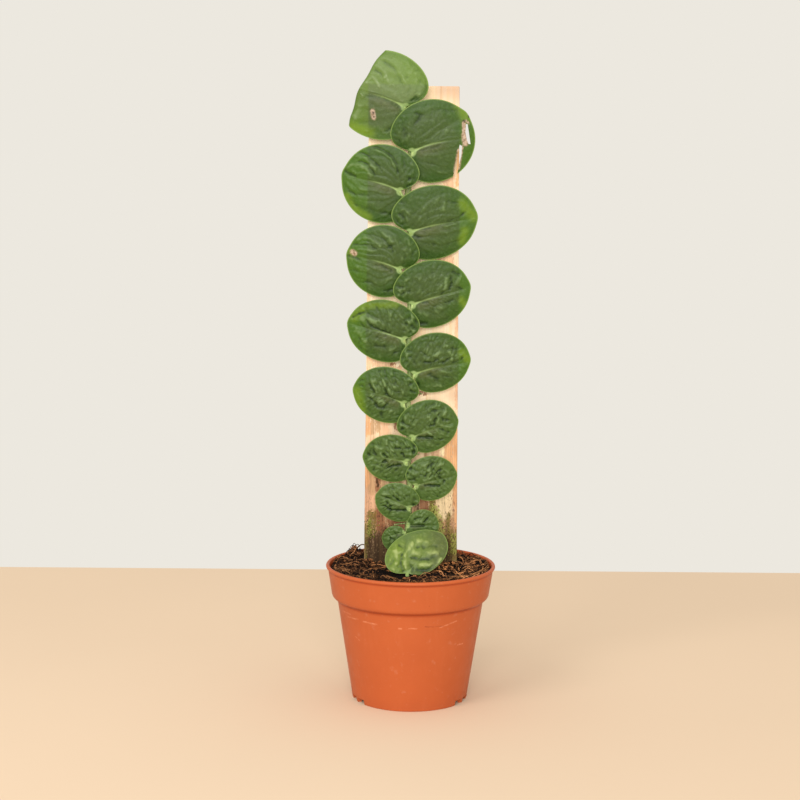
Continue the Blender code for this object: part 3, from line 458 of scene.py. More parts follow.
        (0.7, 0.8, -16, 168, -12, 170), (-0.9, 0.8, -31, 173, -29, 172), (0.6, 0.9, -30, 169, -27, 170),
        (-0.7, 0.8, -7, 174, -5, 172),
    ),
    12: (
        (0.9, 0.9, 12, 162, 14, 160), (0.9, 0.9, 19, 165, 22, 166.5), (-0.9, 0.8, 16, 163, 18, 160),
        (-0.9, 0.8, 19, 161.5, 22, 162.5), (0.7, 0.9, 24, 162, 27, 160),
        (-0.9, 0.9, 10, 150.7, 15, 150.3, 20, 151), (0.7, 0.9, 9, 154.5, 13, 156),
        (-0.8, 0.8, 20, 157, 24, 154), (0.6, 0.8, 17, 157, 19, 155), (-0.6, 0.8, 7, 159, 10, 158),
        (0.5, 0.9, 8, 165, 12, 167), (-0.6, 0.8, 12, 165, 16, 167), (0.5, 0.8, 10, 147.5, 18, 147.5),
    ),
    13: (
        (-1.1, 1, -16, 133.3, -10, 132.6, -4, 133), (-0.9, 0.9, -17.5, 142, -14, 141.5),
        (-0.9, 0.9, -12.5, 143.5, -10.5, 141, -8, 139.5), (0.9, 0.9, -20, 144.5, -16, 144),
        (0.9, 0.8, -15, 139, -12.5, 137.5), (0.8, 0.8, -10.5, 137.5, -8.5, 136),
        (-0.8, 0.8, -17, 138, -14.5, 136), (0.6, 0.8, -12.5, 146, -10.5, 144),
        (0.5, 1, -14, 130, -8, 129.5), (-0.6, 0.7, -19, 136, -17, 134.5),
    ),
    14: (
        (-1.1, 1.1, 0, 121, 4, 121.3, 8, 121.6), (0.9, 0.9, 3, 123.8, 8, 124.3),
        (-0.8, 0.7, 3, 126.5, 6, 127.5), (0.7, 0.7, 5, 129.5, 8, 129), (-0.7, 0.7, 9, 124.5, 12, 127),
        (0.6, 0.7, 11, 123, 14, 124.5), (0.6, 0.7, 10, 131, 12, 129.5),
    ),
    15: (
        (0.8, 0.7, -15, 114.5, -13.5, 113), (-0.9, 0.8, -14.5, 112, -12.5, 111),
        (0.7, 0.7, -9.5, 118, -7.5, 116.5), (-0.7, 0.7, -12, 117.5, -10, 115),
        (0.6, 0.7, -12.5, 108, -10.5, 107),
    ),
    16: (
        (1.1, 1.2, -10, 107.5, -9, 104), (0.7, 1.4, -11, 99, -9.5, 96.5), (1.1, 1.2, -5, 99.5, -3.5, 96),
        (-0.8, 1, -3, 109.5, -6, 105, -6.5, 100, -5, 94, -2.5, 89.5),
        (0.9, 1.1, -4.5, 104.5, -2, 109, 1, 112.5), (1, 1.5, 2.5, 107, 5, 105.5),
        (-0.8, 1.2, 1, 103, 5, 101.5, 12, 101.5, 15, 103), (0.8, 1.4, 13, 106, 18, 106.5),
        (1.1, 1.5, 7.5, 98, 13.5, 98.5), (-1, 1.3, 5, 95, 10, 94.3, 15, 96),
        (0.9, 1.3, 3, 90.3, 9, 91, 15, 93.5, 19, 97.5, 21, 102), (-0.6, 1.1, -12, 103, -13, 99),
        (0.7, 1.2, 5, 114, 12, 113.5), (-0.6, 1, 4, 110, 12, 110, 18, 110.5), (-0.6, 1, 0, 98, 1, 94),
        (0.6, 1, -13, 94, -9, 91.5),
    ),
}

# The top leaf's fold and the second leaf's tear, as in the part's source
FOLD_REACH = 33.6
FOLD_HEIGHT = 8.4
FOLD_SLOPE = -0.348
FOLD_BOW = -0.0067
FOLD_RADIUS = 2.4
FOLD_WAVE = 0.55
FOLD_WAVE_CREST = 8.0
FOLD_WAVE_LENGTH = 22.0
FOLD_WAVE_INSET = 0.4
FOLD_WAVE_FROM = (-16.0, -6.0)
FOLD_TURN = math.radians(172)
FOLD_SEARCH_STEPS = 30
LAST_ARC_START = 0.80
LEAST_ARC = 0.08
TEAR_HOLE = ((35.8, 404.7), (35.4, 399.2), (36.6, 393.8), (37.8, 391.0),
             (39.2, 391.0), (38.6, 394.7), (37.8, 399.6), (36.9, 404.7))
TEAR_SLIT = ((31.7, 390.6), (30.2, 384.7), (28.6, 375.5), (27.2, 367.0), (25.9, 358.0),
             (34.0, 358.0), (30.4, 370.5), (31.4, 376.5), (32.9, 383.0), (33.3, 389.6))
TEAR_DEPTH = (-8.0, 18.0)

# Marks on leaves: x and z of both ends and the half width, by leaf number
MARKS = {
    "dry": {
        1: ((-28.9, 413, -28.1, 408.6, 1.7),),
        2: (
            (34.2, 405.5, 34.6, 397, 1.4), (34.8, 397, 35.6, 391.6, 2.2), (30.8, 387, 28.4, 372, 0.8),
            (33.4, 389, 31.2, 374, 0.8), (35.4, 407, 37.6, 405.4, 0.7),
        ),
        5: ((-42.4, 316, -40.8, 314.8, 1.9),),
    },
    "dark": {
        1: ((-28.6, 412.6, -28.3, 411.6, 0.6), (-28.1, 409.6, -27.9, 408.8, 0.4)),
        2: ((37.7, 412.4, 37.9, 409.4, 0.7), (33.6, 406.9, 34.8, 406.6, 0.7)),
    },
    # Yellow marks are partly the leaves' own yellowing and partly painted light: most lie where a leaf
    # reaches past the board's edge and light comes through it, and the young leaf's mark lightens its lit
    # left side
    "yellow": {
        1: ((-44, 402.5, -30.5, 398, 3.2),),
        2: ((31.5, 416.5, 35.5, 409.5, 3.4),),
        3: ((-46.5, 355, -41, 346, 1.8), (-41, 346, -31, 340, 2.2)),
        4: ((34, 350, 42, 341, 3.2), (36, 331, 34, 324, 2.6)),
        5: ((-44, 316.5, -43, 312.5, 1.6),),
        6: ((34, 283, 37, 279, 2.2),),
        7: ((-41, 270, -33, 278.5, 2.8), (-33, 278.5, -12, 279.5, 2.2)),
        8: ((35, 246, 39, 241, 2.6),),
        9: ((-39, 218, -36, 204, 3),),
        16: ((-13, 108, -11, 94, 7.5),),
    },
}
# Where a mark's edge starts and ends to fade, as shares of its half width
MARK_EDGES = {"dry": (0.6, 1.25), "dark": (0.6, 1.25), "yellow": (0.1, 1.9)}

# A leaf's upper skin: the painted shade of its creases, its middle and margin, the painted highlight of its
# ridges, the painted light where it is past the board, and the light that comes through, then how strong its
# ribs are and how much lighter it is low down
LEAF_TONES = {
    "leaf_upper": ((33, 52, 19), (70, 90, 43), (60, 88, 30), (119, 142, 90), (77, 116, 20),
                   (112, 160, 34), 0.55, 0.9),
    "top_leaf_upper": ((56, 80, 36), (78, 94, 52), (76, 104, 42), (152, 170, 124), (112, 142, 48),
                       (150, 190, 70), 0.45, 0.9),
    "young_leaf_upper": ((34, 58, 20), (104, 123, 56), (60, 84, 44), (176, 190, 116), (108, 132, 48),
                         (160, 196, 80), 0.2, 0.3),
}
LOW_LIFT = 1.75
# What all leaves share: veins, the dull green beside the midrib, the top leaf's painted sheen,
# yellow parts that are partly painted light, dry parts, dark spots, the rim, and the underside with its
# creases and veins
SKIN_TONES = {
    "vein": (176, 202, 128), "olive": (90, 93, 54), "sheen": (128, 148, 96), "yellow": (122, 148, 34),
    "rim": (140, 166, 84), "dry": (212, 186, 164), "dry_dark": (124, 96, 70), "spot": (40, 30, 20),
    "dry_through": (190, 160, 130), "under": (104, 130, 72), "under_crease": (150, 172, 100),
    "under_vein": (176, 196, 126), "under_through": (220, 236, 160),
}


def linear(*screen):
    """A screen colour of 0 to 255 as the linear colour that a shader takes."""
    parts = [part / 255 for part in screen]
    return tuple(part / 12.92 if part <= 0.04045 else ((part + 0.055) / 1.055) ** 2.4 for part in parts)


def linear_tones(tones):
    """A table of screen colours as linear ones."""
    return {name: linear(*tone) for name, tone in tones.items()}


def toned(color, factor):
    """A colour made lighter or darker."""
    return tuple(part * factor for part in color)


class Paint:
    """One procedural material, built up from small node steps that each give a socket."""

    def __init__(self, name):
        self.material = bpy.data.materials.new(name)
        self.material.use_nodes = True
        self.tree = self.material.node_tree
        self.shader = self.tree.nodes["Principled BSDF"]
        self.place = self.node("TexCoord", "Object")

    def feed(self, socket, value):
        if isinstance(value, bpy.types.NodeSocket):
            self.tree.links.new(value, socket)
        elif isinstance(value, tuple) and len(value) == 3 and len(socket.default_value) == 4:
            socket.default_value = (*value, 1.0)
        else:
            socket.default_value = value

    def node(self, kind, output, fed=(), **settings):
        made = self.tree.nodes.new("ShaderNode" + kind)
        for key, value in settings.items():
            setattr(made, key, value)
        for key, value in dict(fed).items():
            self.feed(made.inputs[key], value)
        return made.outputs[output]

    def math(self, operation, first, second=0.0, clamp=False):
        return self.node("Math", 0, {0: first, 1: second}, operation=operation, use_clamp=clamp)

    def times(self, first, second):
        return self.math("MULTIPLY", first, second)

    def swing(self, value, strength):
        return self.times(self.math("SUBTRACT", value, 0.5), strength)

    def vector(self, operation, first, second, output="Vector"):
        return self.node("VectorMath", output, {0: first, 1: second}, operation=operation)

    def span(self, value, low, high, to_low=0.0, to_high=1.0):
        fed = {"Value": value, "From Min": low, "From Max": high, "To Min": to_low, "To Max": to_high}
        return self.node("MapRange", "Result", fed, interpolation_type="SMOOTHSTEP")

    def mix(self, share, first, second, blend="MIX"):
        return self.node("Mix", 2, {0: share, 6: first, 7: second}, data_type="RGBA", blend_type=blend)

    def layered(self, color, *layers):
        for share, tone in layers:
            color = self.mix(share, color, tone)
        return color

    def scaled(self, *factors):
        return self.vector("MULTIPLY", self.place, factors)

    def noise(self, scale, detail=2.0, place=None, roughness=0.5, output="Fac"):
        place = self.place if place is None else place
        fed = {"Vector": place, "Scale": scale, "Detail": detail, "Roughness": roughness}
        return self.node("TexNoise", output, fed)

    def attribute(self, name, strength=None):
        share = self.node("Attribute", "Fac", attribute_name=name)
        return share if strength is None else self.times(share, strength)

    def axis(self, index):
        return self.node("SeparateXYZ", index, {0: self.place})

    def bump(self, height, strength, distance, normal=None):
        fed = {"Height": height, "Strength": strength, "Distance": distance}
        if normal is not None:
            fed["Normal"] = normal
        return self.node("Bump", "Normal", fed)

    def finish(self, color, roughness, normal=None, specular=0.5):
        for key, value in (("Base Color", color), ("Roughness", roughness),
                           ("Specular IOR Level", specular), ("Normal", normal)):
            if value is not None:
                self.feed(self.shader.inputs[key], value)
        return self.material

    def add_translucent(self, share, color, normal):
        through = self.node("BsdfTranslucent", 0, {"Color": color, "Normal": normal})
        both = self.node("MixShader", 0, {0: share, 1: self.shader.outputs[0], 2: through})
        self.feed(self.tree.nodes["Material Output"].inputs["Surface"], both)
        return self.material


def add_object(name, mesh):
    """Link a mesh to the scene as one object."""
    thing = bpy.data.objects.new(name, mesh)
    bpy.context.scene.collection.objects.link(thing)
    return thing


def mesh_of(build, name):
    """The mesh of a finished bmesh."""
    mesh = bpy.data.meshes.new(name)
    build.to_mesh(mesh)
    build.free()
    return mesh


def mesh_from(points, faces, name):
    """A mesh in metres from points in millimetres, with its faces turned outwards."""
    mesh = bpy.data.meshes.new(name)
    mesh.from_pydata([Vector(point) * MM for point in points], [], faces)
    build = bmesh.new()
    build.from_mesh(mesh)
    bmesh.ops.recalc_face_normals(build, faces=build.faces)
    build.to_mesh(mesh)
    build.free()
    return mesh


def bake(thing):
    """Turn an object's evaluated shape into its own mesh, without modifiers."""
    graph = bpy.context.evaluated_depsgraph_get()
    graph.update()
    mesh = bpy.data.meshes.new_from_object(thing.evaluated_get(graph))
    thing.modifiers.clear()
    thing.data = mesh


def cut(thing, cutters):
    """Cut closed bodies from an object, and drop them."""
    group = bpy.data.collections.new(thing.name + "_cutters")
    bpy.context.scene.collection.children.link(group)
    for cutter in cutters:
        bpy.context.scene.collection.objects.unlink(cutter)
        group.objects.link(cutter)
    boolean = thing.modifiers.new("cut", "BOOLEAN")
    boolean.operation = "DIFFERENCE"
    boolean.solver = "EXACT"
    boolean.operand_type = "COLLECTION"
    boolean.collection = group
    bake(thing)
    for cutter in cutters:
        bpy.data.objects.remove(cutter, do_unlink=True)
    bpy.data.collections.remove(group)


def place_piece(thing, degrees, slot, *nodes):
    """Let a finished piece ride with the plant in place of its CAD nodes.

    Its edges sharper than the given angle stay sharp."""
    if degrees:
        thing.data.shade_smooth()
        thing.data.set_sharp_from_angle(angle=math.radians(degrees))
    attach(thing, "root")
    if nodes:
        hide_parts(*nodes)


def circle(radius, height, sides):
    """Points round the upright axis."""
    turns = [math.tau * side / sides for side in range(sides)]
    return [(radius * math.cos(turn), radius * math.sin(turn), height) for turn in turns]


def fan(centre, first, sides):
    """Faces from one point to a ring of points."""
    return [(centre, first + side, first + (side + 1) % sides) for side in range(sides)]


def ring_faces(rings, sides, first=0):
    """Faces between rings of points that follow each other."""
    faces = []
    for low in range(first, first + (rings - 1) * sides, sides):
        for side in range(sides):
            following = (side + 1) % sides
            faces.append((low + side, low + following, low + sides + following, low + sides + side))
    return faces


def closed_mesh(name, start, rings, end):
    """A closed skin from one point over rings of points to another point."""
    sides = len(rings[0])
    points = [start, end] + [point for ring in rings for point in ring]
    faces = fan(0, 2, sides) + ring_faces(len(rings), sides, 2)
    return mesh_from(points, faces + fan(1, len(points) - sides, sides), name)


def taper(first, last, path):
    """A radius for each point of a path."""
    count = len(path) - 1
    return [first + (last - first) * index / count for index in range(count + 1)]


def tube_parts(path, radii, sides, points, faces):
    """Add a closed round tube along a path to lists of points and faces."""
    first = len(points)
    count = len(path)
    for index, centre in enumerate(path):
        before = path[max(index - 1, 0)]
        after = path[min(index + 1, count - 1)]
        along = (after - before).normalized()
        guide = Vector((0, 1, 0)) if abs(along.y) < 0.9 else Vector((1, 0, 0))
        across = along.cross(guide).normalized()
        upward = across.cross(along)
        for x, y, _ in circle(1.0, 0.0, sides):
            points.append(centre + (across * x + upward * y) * radii[index])
    faces += ring_faces(count, sides, first)
    last = first + (count - 1) * sides
    faces.append(tuple(range(first + sides - 1, first - 1, -1)))
    faces.append(tuple(range(last, last + sides)))


def smooth_path(stations, steps):
    """A smooth curve through stations, as a list of points."""
    points = []
    count = len(stations)
    for index in range(count - 1):
        before = stations[max(index - 1, 0)]
        start = stations[index]
        end = stations[index + 1]
        after = stations[min(index + 2, count - 1)]
        for step in range(steps):
            t = step / steps
            points.append(0.5 * (2 * start + (end - before) * t
                                 + (2 * before - 5 * start + 4 * end - after) * t * t
                                 + (3 * start - before - 3 * end + after) * t ** 3))
    return points + [stations[-1]]


def between(stations, height, eased=False):
    """The value at a height, from stations of height and value."""
    for (low, first), (high, last) in zip(stations, stations[1:]):
        if height <= high:
            share = (height - low) / (high - low)
            if eased:
                share = share * share * (3 - 2 * share)
            return first + share * (last - first)
    return stations[-1][1]


def step_up(value, low, high):
    """A smooth step from 0 at low to 1 at high."""
    t = np.clip((value - low) / (high - low), 0, 1)
    return t * t * (3 - 2 * t)


def noise_at(first, second, scale, seed):
    """Smooth noise at each of a set of flat points."""
    return np.array([noise.noise(Vector((a * scale, b * scale, seed)))
                     for a, b in zip(first, second)])


def line_gap(x, z, line):
    """The distance of each point from a line, given as x and z of its places in turn."""
    gap = np.full_like(x, 1e9)
    for index in range(0, len(line) - 2, 2):
        first_x, first_z, last_x, last_z = line[index:index + 4]
        along = np.array((last_x - first_x, last_z - first_z), float)
        reach = ((x - first_x) * along[0] + (z - first_z) * along[1]) / max(along @ along, 1e-9)
        reach = np.clip(reach, 0, 1)
        gap = np.minimum(gap, np.hypot(x - first_x - reach * along[0], z - first_z - reach * along[1]))
    return gap


def stroke_values(strokes, x, z, inner, outer):
    """How far each point lies inside any of a set of strokes, from 0 to 1."""
    total = np.zeros_like(x)
    for *line, half_width in strokes:
        gap = line_gap(x, z, line)
        total = np.maximum(total, 1 - step_up(gap, half_width * inner, half_width * outer))
    return total


def set_attribute(mesh, name, values):
    """Give a mesh one number per point for its material to read."""
    layer = mesh.attributes.get(name) or mesh.attributes.new(name, "FLOAT", "POINT")
    layer.data.foreach_set("value", np.asarray(values, np.float32))


def mesh_points(mesh):
    """A mesh's points as columns of x, y and z in millimetres."""
    flat = np.zeros(len(mesh.vertices) * 3, np.float32)
    mesh.vertices.foreach_get("co", flat)
    return (flat.reshape(-1, 3).astype(float) / MM).T


# Camera, light and floor

def make_camera():
    """The camera at the photograph's place, pitch and roll."""
    pitch = math.radians(CAMERA_PITCH)
    roll = math.radians(CAMERA_ROLL)
    forward = Vector((0, math.cos(pitch), -math.sin(pitch)))
    right = Vector((1, 0, 0))
    upward = right.cross(forward)
    rolled_right = math.cos(roll) * right + math.sin(roll) * upward
    rolled_up = math.cos(roll) * upward - math.sin(roll) * right
    camera = add_object("camera", bpy.data.cameras.new("camera"))
    turn = Matrix((rolled_right, rolled_up, -forward)).transposed().to_4x4()
    camera.matrix_world = Matrix.Translation(Vector(CAMERA_PLACE) * MM) @ turn
    camera.data.sensor_width = SENSOR_WIDTH
    camera.data.lens = CAMERA_LENS
    camera.data.clip_start, camera.data.clip_end = CLIP_RANGE
    bpy.context.scene.camera = camera


def add_light(name, place, size, power, color):
    """A square soft light that looks at the plant, itself out of sight."""
    data = bpy.data.lights.new(name, "AREA")
    data.shape = "SQUARE"
    data.size = size * MM
    data.energy = power
    data.color = color
    light = add_object(name, data)
    light.visible_camera = False
    light.location = Vector(place) * MM
    light.rotation_mode = "QUATERNION"
    light.rotation_quaternion = (Vector(AIM) - Vector(place)).to_track_quat("-Z", "Y")


def make_surroundings():
    """Soft light from all round, two soft lamps, and a plain pale floor."""
    world = bpy.data.worlds.new("room")
    world.use_nodes = True
    sky = world.node_tree.nodes["Background"]
    sky.inputs["Color"].default_value = (*ROOM_COLOR, 1.0)
    sky.inputs["Strength"].default_value = ROOM_STRENGTH
    bpy.context.scene.world = world
    bpy.context.scene.view_settings.view_transform = "Standard"
    for lamp in LAMPS:
        add_light(*lamp)
    corners = [(-FLOOR_HALF_WIDTH, FLOOR_FRONT_Y, 0), (FLOOR_HALF_WIDTH, FLOOR_FRONT_Y, 0),
               (FLOOR_HALF_WIDTH, FLOOR_BACK_Y, 0), (-FLOOR_HALF_WIDTH, FLOOR_BACK_Y, 0)]
    floor = add_object("floor", mesh_from(corners, [(0, 1, 2, 3)], "floor"))
    paint = Paint("pale_floor")
    color = paint.mix(paint.noise(3.0, 3.0), FLOOR_COLOR, toned(FLOOR_COLOR, FLOOR_SHADE))
    floor.data.materials.append(paint.finish(color, 0.7, specular=0.0))


# Pot

def pot_inside_radius(height):
    """The radius of the pot's inner face at a height."""
    return between((
        (FLOOR_TOP_Z, FLOOR_TOP_RADIUS),
        (BODY_TOP_Z, BODY_TOP_RADIUS - POT_WALL),
        (COLLAR_FOOT_Z, COLLAR_FOOT_RADIUS - POT_WALL),
        (POT_HEIGHT - LIP_DEPTH, COLLAR_TOP_RADIUS - POT_WALL),
    ), height)


def rounded(outline, reaches, steps=4):
    """The inner corners of an outline, each rounded by its own reach."""
    points = []
    for before, corner, after, reach in zip(outline, outline[1:], outline[2:], reaches):
        corner = Vector(corner)
        start = corner + (Vector(before) - corner).normalized() * reach
        end = corner + (Vector(after) - corner).normalized() * reach
        for step in range(steps + 1):
            t = step / steps
            points.append(tuple(start.lerp(corner, t).lerp(corner.lerp(end, t), t)))
    return points


def pot_profile():
    """The pot's outline as radius and height, from its floor's underside to its inside."""
    half_lip = LIP_WIDTH / 2
    lip = []
    for degrees in LIP_DEGREES:
        turn = math.radians(degrees)
        lip.append((RIM_RADIUS - half_lip + math.cos(turn) * half_lip,
                    POT_HEIGHT - half_lip + math.sin(turn) * half_lip))
    outside = [
        (0, FLOOR_UNDERSIDE_Z),
        (BASE_RADIUS - FOOT_RING_WIDTH, FLOOR_UNDERSIDE_Z),
        (BASE_RADIUS - FOOT_RING_WIDTH, 0),
        (BASE_RADIUS, 0),
        (BODY_TOP_RADIUS, BODY_TOP_Z),
        *COLLAR_CURL,
        (COLLAR_FOOT_RADIUS, COLLAR_FOOT_Z),
        (COLLAR_TOP_RADIUS, POT_HEIGHT - LIP_DEPTH),
        lip[0],
    ]
    heights = (POT_HEIGHT - LIP_DEPTH, COLLAR_FOOT_Z, BODY_TOP_Z, FLOOR_TOP_Z)
    inside = [lip[-1], *((pot_inside_radius(height), height) for height in heights), (0, FLOOR_TOP_Z)]
    return rounded(outside, CORNER_REACHES) + lip + rounded(inside, (INSIDE_REACH,) * len(heights))


def notch_cutters():
    """Boxes through the foot ring, two beside a web at each place."""
    cutters = []
    inner = BASE_RADIUS - FOOT_RING_WIDTH - NOTCH_OVERRUN
    outer = BASE_RADIUS + NOTCH_OVERRUN
    size = Vector((outer - inner, NOTCH_WIDTH, NOTCH_HEIGHT + NOTCH_OVERRUN))
    for degrees in NOTCH_PAIR_ANGLES:
        for hand in (-1, 1):
            centre = Vector(((inner + outer) / 2, hand * (NOTCH_WEB + NOTCH_WIDTH) / 2,
                             (NOTCH_HEIGHT - NOTCH_OVERRUN) / 2))
            build = bmesh.new()
            bmesh.ops.create_cube(build, size=1.0)
            bmesh.ops.scale(build, vec=size * MM, verts=build.verts)
            bmesh.ops.translate(build, vec=centre * MM, verts=build.verts)
            upper = []
            for edge in build.edges:
                run = edge.verts[0].co - edge.verts[1].co
                if abs(run.z) < MM and abs(run.y) < MM and edge.verts[0].co.z > 0:
                    upper.append(edge)
            bmesh.ops.bevel(build, geom=upper, offset=NOTCH_ROUNDING * MM, segments=3, affect="EDGES",
                            profile=0.5)
            cutter = add_object("notch", mesh_of(build, "notch"))
            cutter.rotation_euler.z = math.radians(degrees)
            cutters.append(cutter)
    return cutters


def drain_cutters():
    """Round cutters for the holes in the floor."""
    cutters = []
    for x, y, _ in circle(DRAIN_HOLE_CIRCLE, 0, DRAIN_HOLES):
        points, faces = [], []
        path = [Vector((x, y, 0)), Vector((x, y, FLOOR_TOP_Z + FLOOR_UNDERSIDE_Z))]
        tube_parts(path, (DRAIN_HOLE_RADIUS,) * 2, DRAIN_SIDES, points, faces)
        cutters.append(add_object("drain", mesh_from(points, faces, "drain")))
    return cutters


def stroke_share(paint, place, start, end, half_width):
    """How far a place lies inside one short stroke, from 0 outside to 1 in its middle."""
    along = end - start
    away = paint.vector("SUBTRACT", place, start)
    reach = paint.vector("DOT_PRODUCT", away, along / max(along.length_squared, 1e-12), "Value")
    share = paint.math("ADD", reach, 0.0, clamp=True)
    nearest = paint.node("VectorMath", 0, {0: along, "Scale": share}, operation="SCALE")
    gap = paint.vector("DISTANCE", away, nearest, "Value")
    return paint.span(gap, half_width * 1.5, half_width * 0.3)


def scuff_share(paint, place, scuffs):
    """The strongest of a set of strokes, given by turn and height on the pot's front."""
    total = None
    for first_turn, first_z, last_turn, last_z, half_width in scuffs:
        ends = [Vector((math.radians(turn) * BODY_TOP_RADIUS * MM, z * MM, 0))
                for turn, z in ((first_turn, first_z), (last_turn, last_z))]
        share = stroke_share(paint, place, *ends, half_width * MM)
        total = share if total is None else paint.math("MAXIMUM", total, share)
    return total


def band(paint, height, heights):
    """A soft band between heights."""
    low, low_full, high_full, high = (z * MM for z in heights)
    return paint.times(paint.span(height, low, low_full), paint.span(height, high, high_full))


def pot_paint():
    """Moulded terracotta plastic: satin, a little cloudy, scuffed and dusty, with painted shade in the
    creases below lip and collar.
    """
    paint = Paint("terracotta_plastic")
    turn = paint.math("ARCTAN2", paint.axis(1), paint.axis(0))
    height = paint.axis(2)
    unrolled = paint.node("CombineXYZ", 0, {0: paint.times(turn, BODY_TOP_RADIUS * MM), 1: height})
    shift = paint.node("VectorMath", 0, {0: paint.noise(420.0, output="Color"), "Scale": 0.0009},
                       operation="SCALE")
    wobble = paint.vector("ADD", unrolled, shift)
    cloudy = paint.noise(38.0, 4.0)
    flow = paint.noise(1.0, 3.0, paint.scaled(260.0, 260.0, 28.0))
    pale = paint.times(scuff_share(paint, wobble, PALE_SCUFFS),
                       paint.span(paint.noise(900.0, 2.0), 0.30, 0.55, 0.70, 1.0))
    # Painted shade: a dark band in the creases under the lip and under the collar
    crease = paint.math("MAXIMUM", band(paint, height, LIP_CREASE_Z), band(paint, height, COLLAR_CREASE_Z))
    color = paint.layered(
        paint.mix(cloudy, POT_TONES["clear"], POT_TONES["cloudy"]),
        (paint.span(flow, 0.52, 0.78, 0.0, 0.05), POT_TONES["flow"]),
        (paint.times(pale, 0.7), POT_TONES["pale_scuff"]),
        (paint.times(scuff_share(paint, wobble, DARK_SCUFFS), 0.75), POT_TONES["dark_scuff"]),
        (paint.times(paint.span(height, 0.012, 0.0, 0.0, 0.25), cloudy), POT_TONES["foot"]),
        (paint.times(paint.span(paint.noise(240.0, 5.0), 0.60, 0.74), 0.12), POT_TONES["dust"]),
        (paint.times(crease, 0.55), POT_TONES["crease"]),
    )
    roughness = paint.span(paint.noise(120.0, 4.0), 0.3, 0.7, 0.40, 0.52)
    return paint.finish(color, roughness, paint.bump(paint.noise(2600.0), 0.06, 0.0002), specular=0.18)


def make_pot():
    """The pot with its drainage."""
    profile = pot_profile()
    rings = [circle(radius, height, POT_SIDES) for radius, height in profile]
    pot = add_object("nursery_pot", closed_mesh("nursery_pot", (0, 0, FLOOR_UNDERSIDE_Z), rings,
                                                (0, 0, FLOOR_TOP_Z)))
    cut(pot, notch_cutters() + drain_cutters())
    pot.data.materials.append(pot_paint())
    place_piece(pot, 40, "pot_plastic", "pot")


# Soil

def soil_clods():
    """The source's clump and clods."""
    draw = random.Random(SOIL_SEED)
    clods = [(CLUMP_X, CLUMP_Y, CLUMP_RADIUS, CLUMP_RISE)]
    for _ in range(SOIL_CLODS):
        reach = SOIL_CLOD_REACH * math.sqrt(draw.random())
        turn = draw.uniform(0, math.tau)
        radius = draw.uniform(*SOIL_CLOD_RADIUS)
        rise = draw.uniform(*SOIL_CLOD_HEIGHT)
        clods.append((reach * math.cos(turn), reach * math.sin(turn), radius, rise))
    return clods


CLODS = soil_clods()


def clod_rise(x, y, clods, power):
    """How much clods raise a place."""
    return sum(rise * math.exp(-(math.hypot(x - clod_x, y - clod_y) / radius) ** power)
               for clod_x, clod_y, radius, rise in clods)


def soil_height(x, y):
    """The height of the soil's surface at a place, with its fine crumb."""
    height = SOIL_TOP_Z + SOIL_EDGE_RISE * (math.hypot(x, y) / COLLAR_FOOT_RADIUS) ** 4
    along_x, along_y, aslant = SOIL_SWELL_PER_MM
    height += SOIL_SWELL * (math.sin(x * along_x) + math.cos(y * along_y - x * aslant))
    height += clod_rise(x, y, CLODS, 2)
    hollow = math.hypot((x - HOLLOW_X) / HOLLOW_LONG, (y - HOLLOW_Y) / HOLLOW_WIDE)
    calm = math.exp(-hollow ** 4)
    height = height * (1 - calm) + HOLLOW_Z * calm + clod_rise(x, y, FRONT_CLODS, 4)
    if abs(x) < PLANK_FOOT_WIDTH / 2 + 2:
        heap = 0.6 + 0.8 * noise.noise(Vector((x * 0.22, 7.0, 3.0)))
        height += FOOT_RISE * heap * math.exp(-((y - PLANK_FRONT_Y) / FOOT_RISE_REACH) ** 2)
    crumb = sum(depth * noise.noise(Vector((x * scale, y * scale, scale * 40)))
                for scale, depth in CRUMB_SCALES)
    return height + crumb * (1 - 0.7 * calm)


def soil_paint(name):
    """Peat: dark, with lighter dry crumbs, each strand or crumb in its own tone."""
    dark, light, speck = (linear(*tone) for tone in SOIL_TONES[name])
    paint = Paint(name)
    fine = paint.noise(900.0, 4.0, roughness=0.7)
    color = paint.layered(
        dark,
        (paint.span(paint.noise(150.0, 4.0), 0.35, 0.70), toned(dark, 2.2)),
        (paint.attribute("tone"), light),
        (paint.span(fine, 0.52, 0.80, 0.0, 0.6), speck),
    )
    return paint.finish(color, 0.93, paint.bump(fine, 0.9, 0.0006), specular=0.12)


def make_soil():
    """The filling, its slot and holes left out of sight under what stands in them."""
    floor_z = FLOOR_TOP_Z + CLEARANCE
    rings = [circle(pot_inside_radius(height) - CLEARANCE, height, SOIL_SIDES)
             for height in (floor_z, BODY_TOP_Z, COLLAR_FOOT_Z)]
    top_radius = pot_inside_radius(SOIL_TOP_Z) - CLEARANCE
    for index in range(SOIL_RINGS, 0, -1):
        rings.append([(x, y, soil_height(x, y))
                      for x, y, _ in circle(top_radius * index / SOIL_RINGS, 0, SOIL_SIDES)])
    soil = add_object("peat", closed_mesh("peat", (0, 0, floor_z), rings, (0, 0, soil_height(0, 0))))
    soil.data.materials.append(soil_paint("peat"))
    place_piece(soil, 60, "soil_peat", "soil")
    make_fibres()
    make_chips()


def in_the_way(x, y):
    """Whether a place on the soil is under the board or the young leaf."""
    behind = PLANK_FRONT_Y + PLANK_THICKNESS + BOARD_MARGIN
    in_board = abs(x) < PLANK_FOOT_WIDTH / 2 + BOARD_MARGIN and PLANK_FRONT_Y - BOARD_MARGIN < y < behind
    left, right, front, back = YOUNG_LEAF_GROUND
    return in_board or (left < x < right and front < y < back)


def dryness(x, y):
    """How pale the loose bits are: the soil is drier to the right and behind."""
    return DRYNESS + DRYNESS_SWING * math.tanh((x + 0.5 * y) / DRYNESS_BLEND)


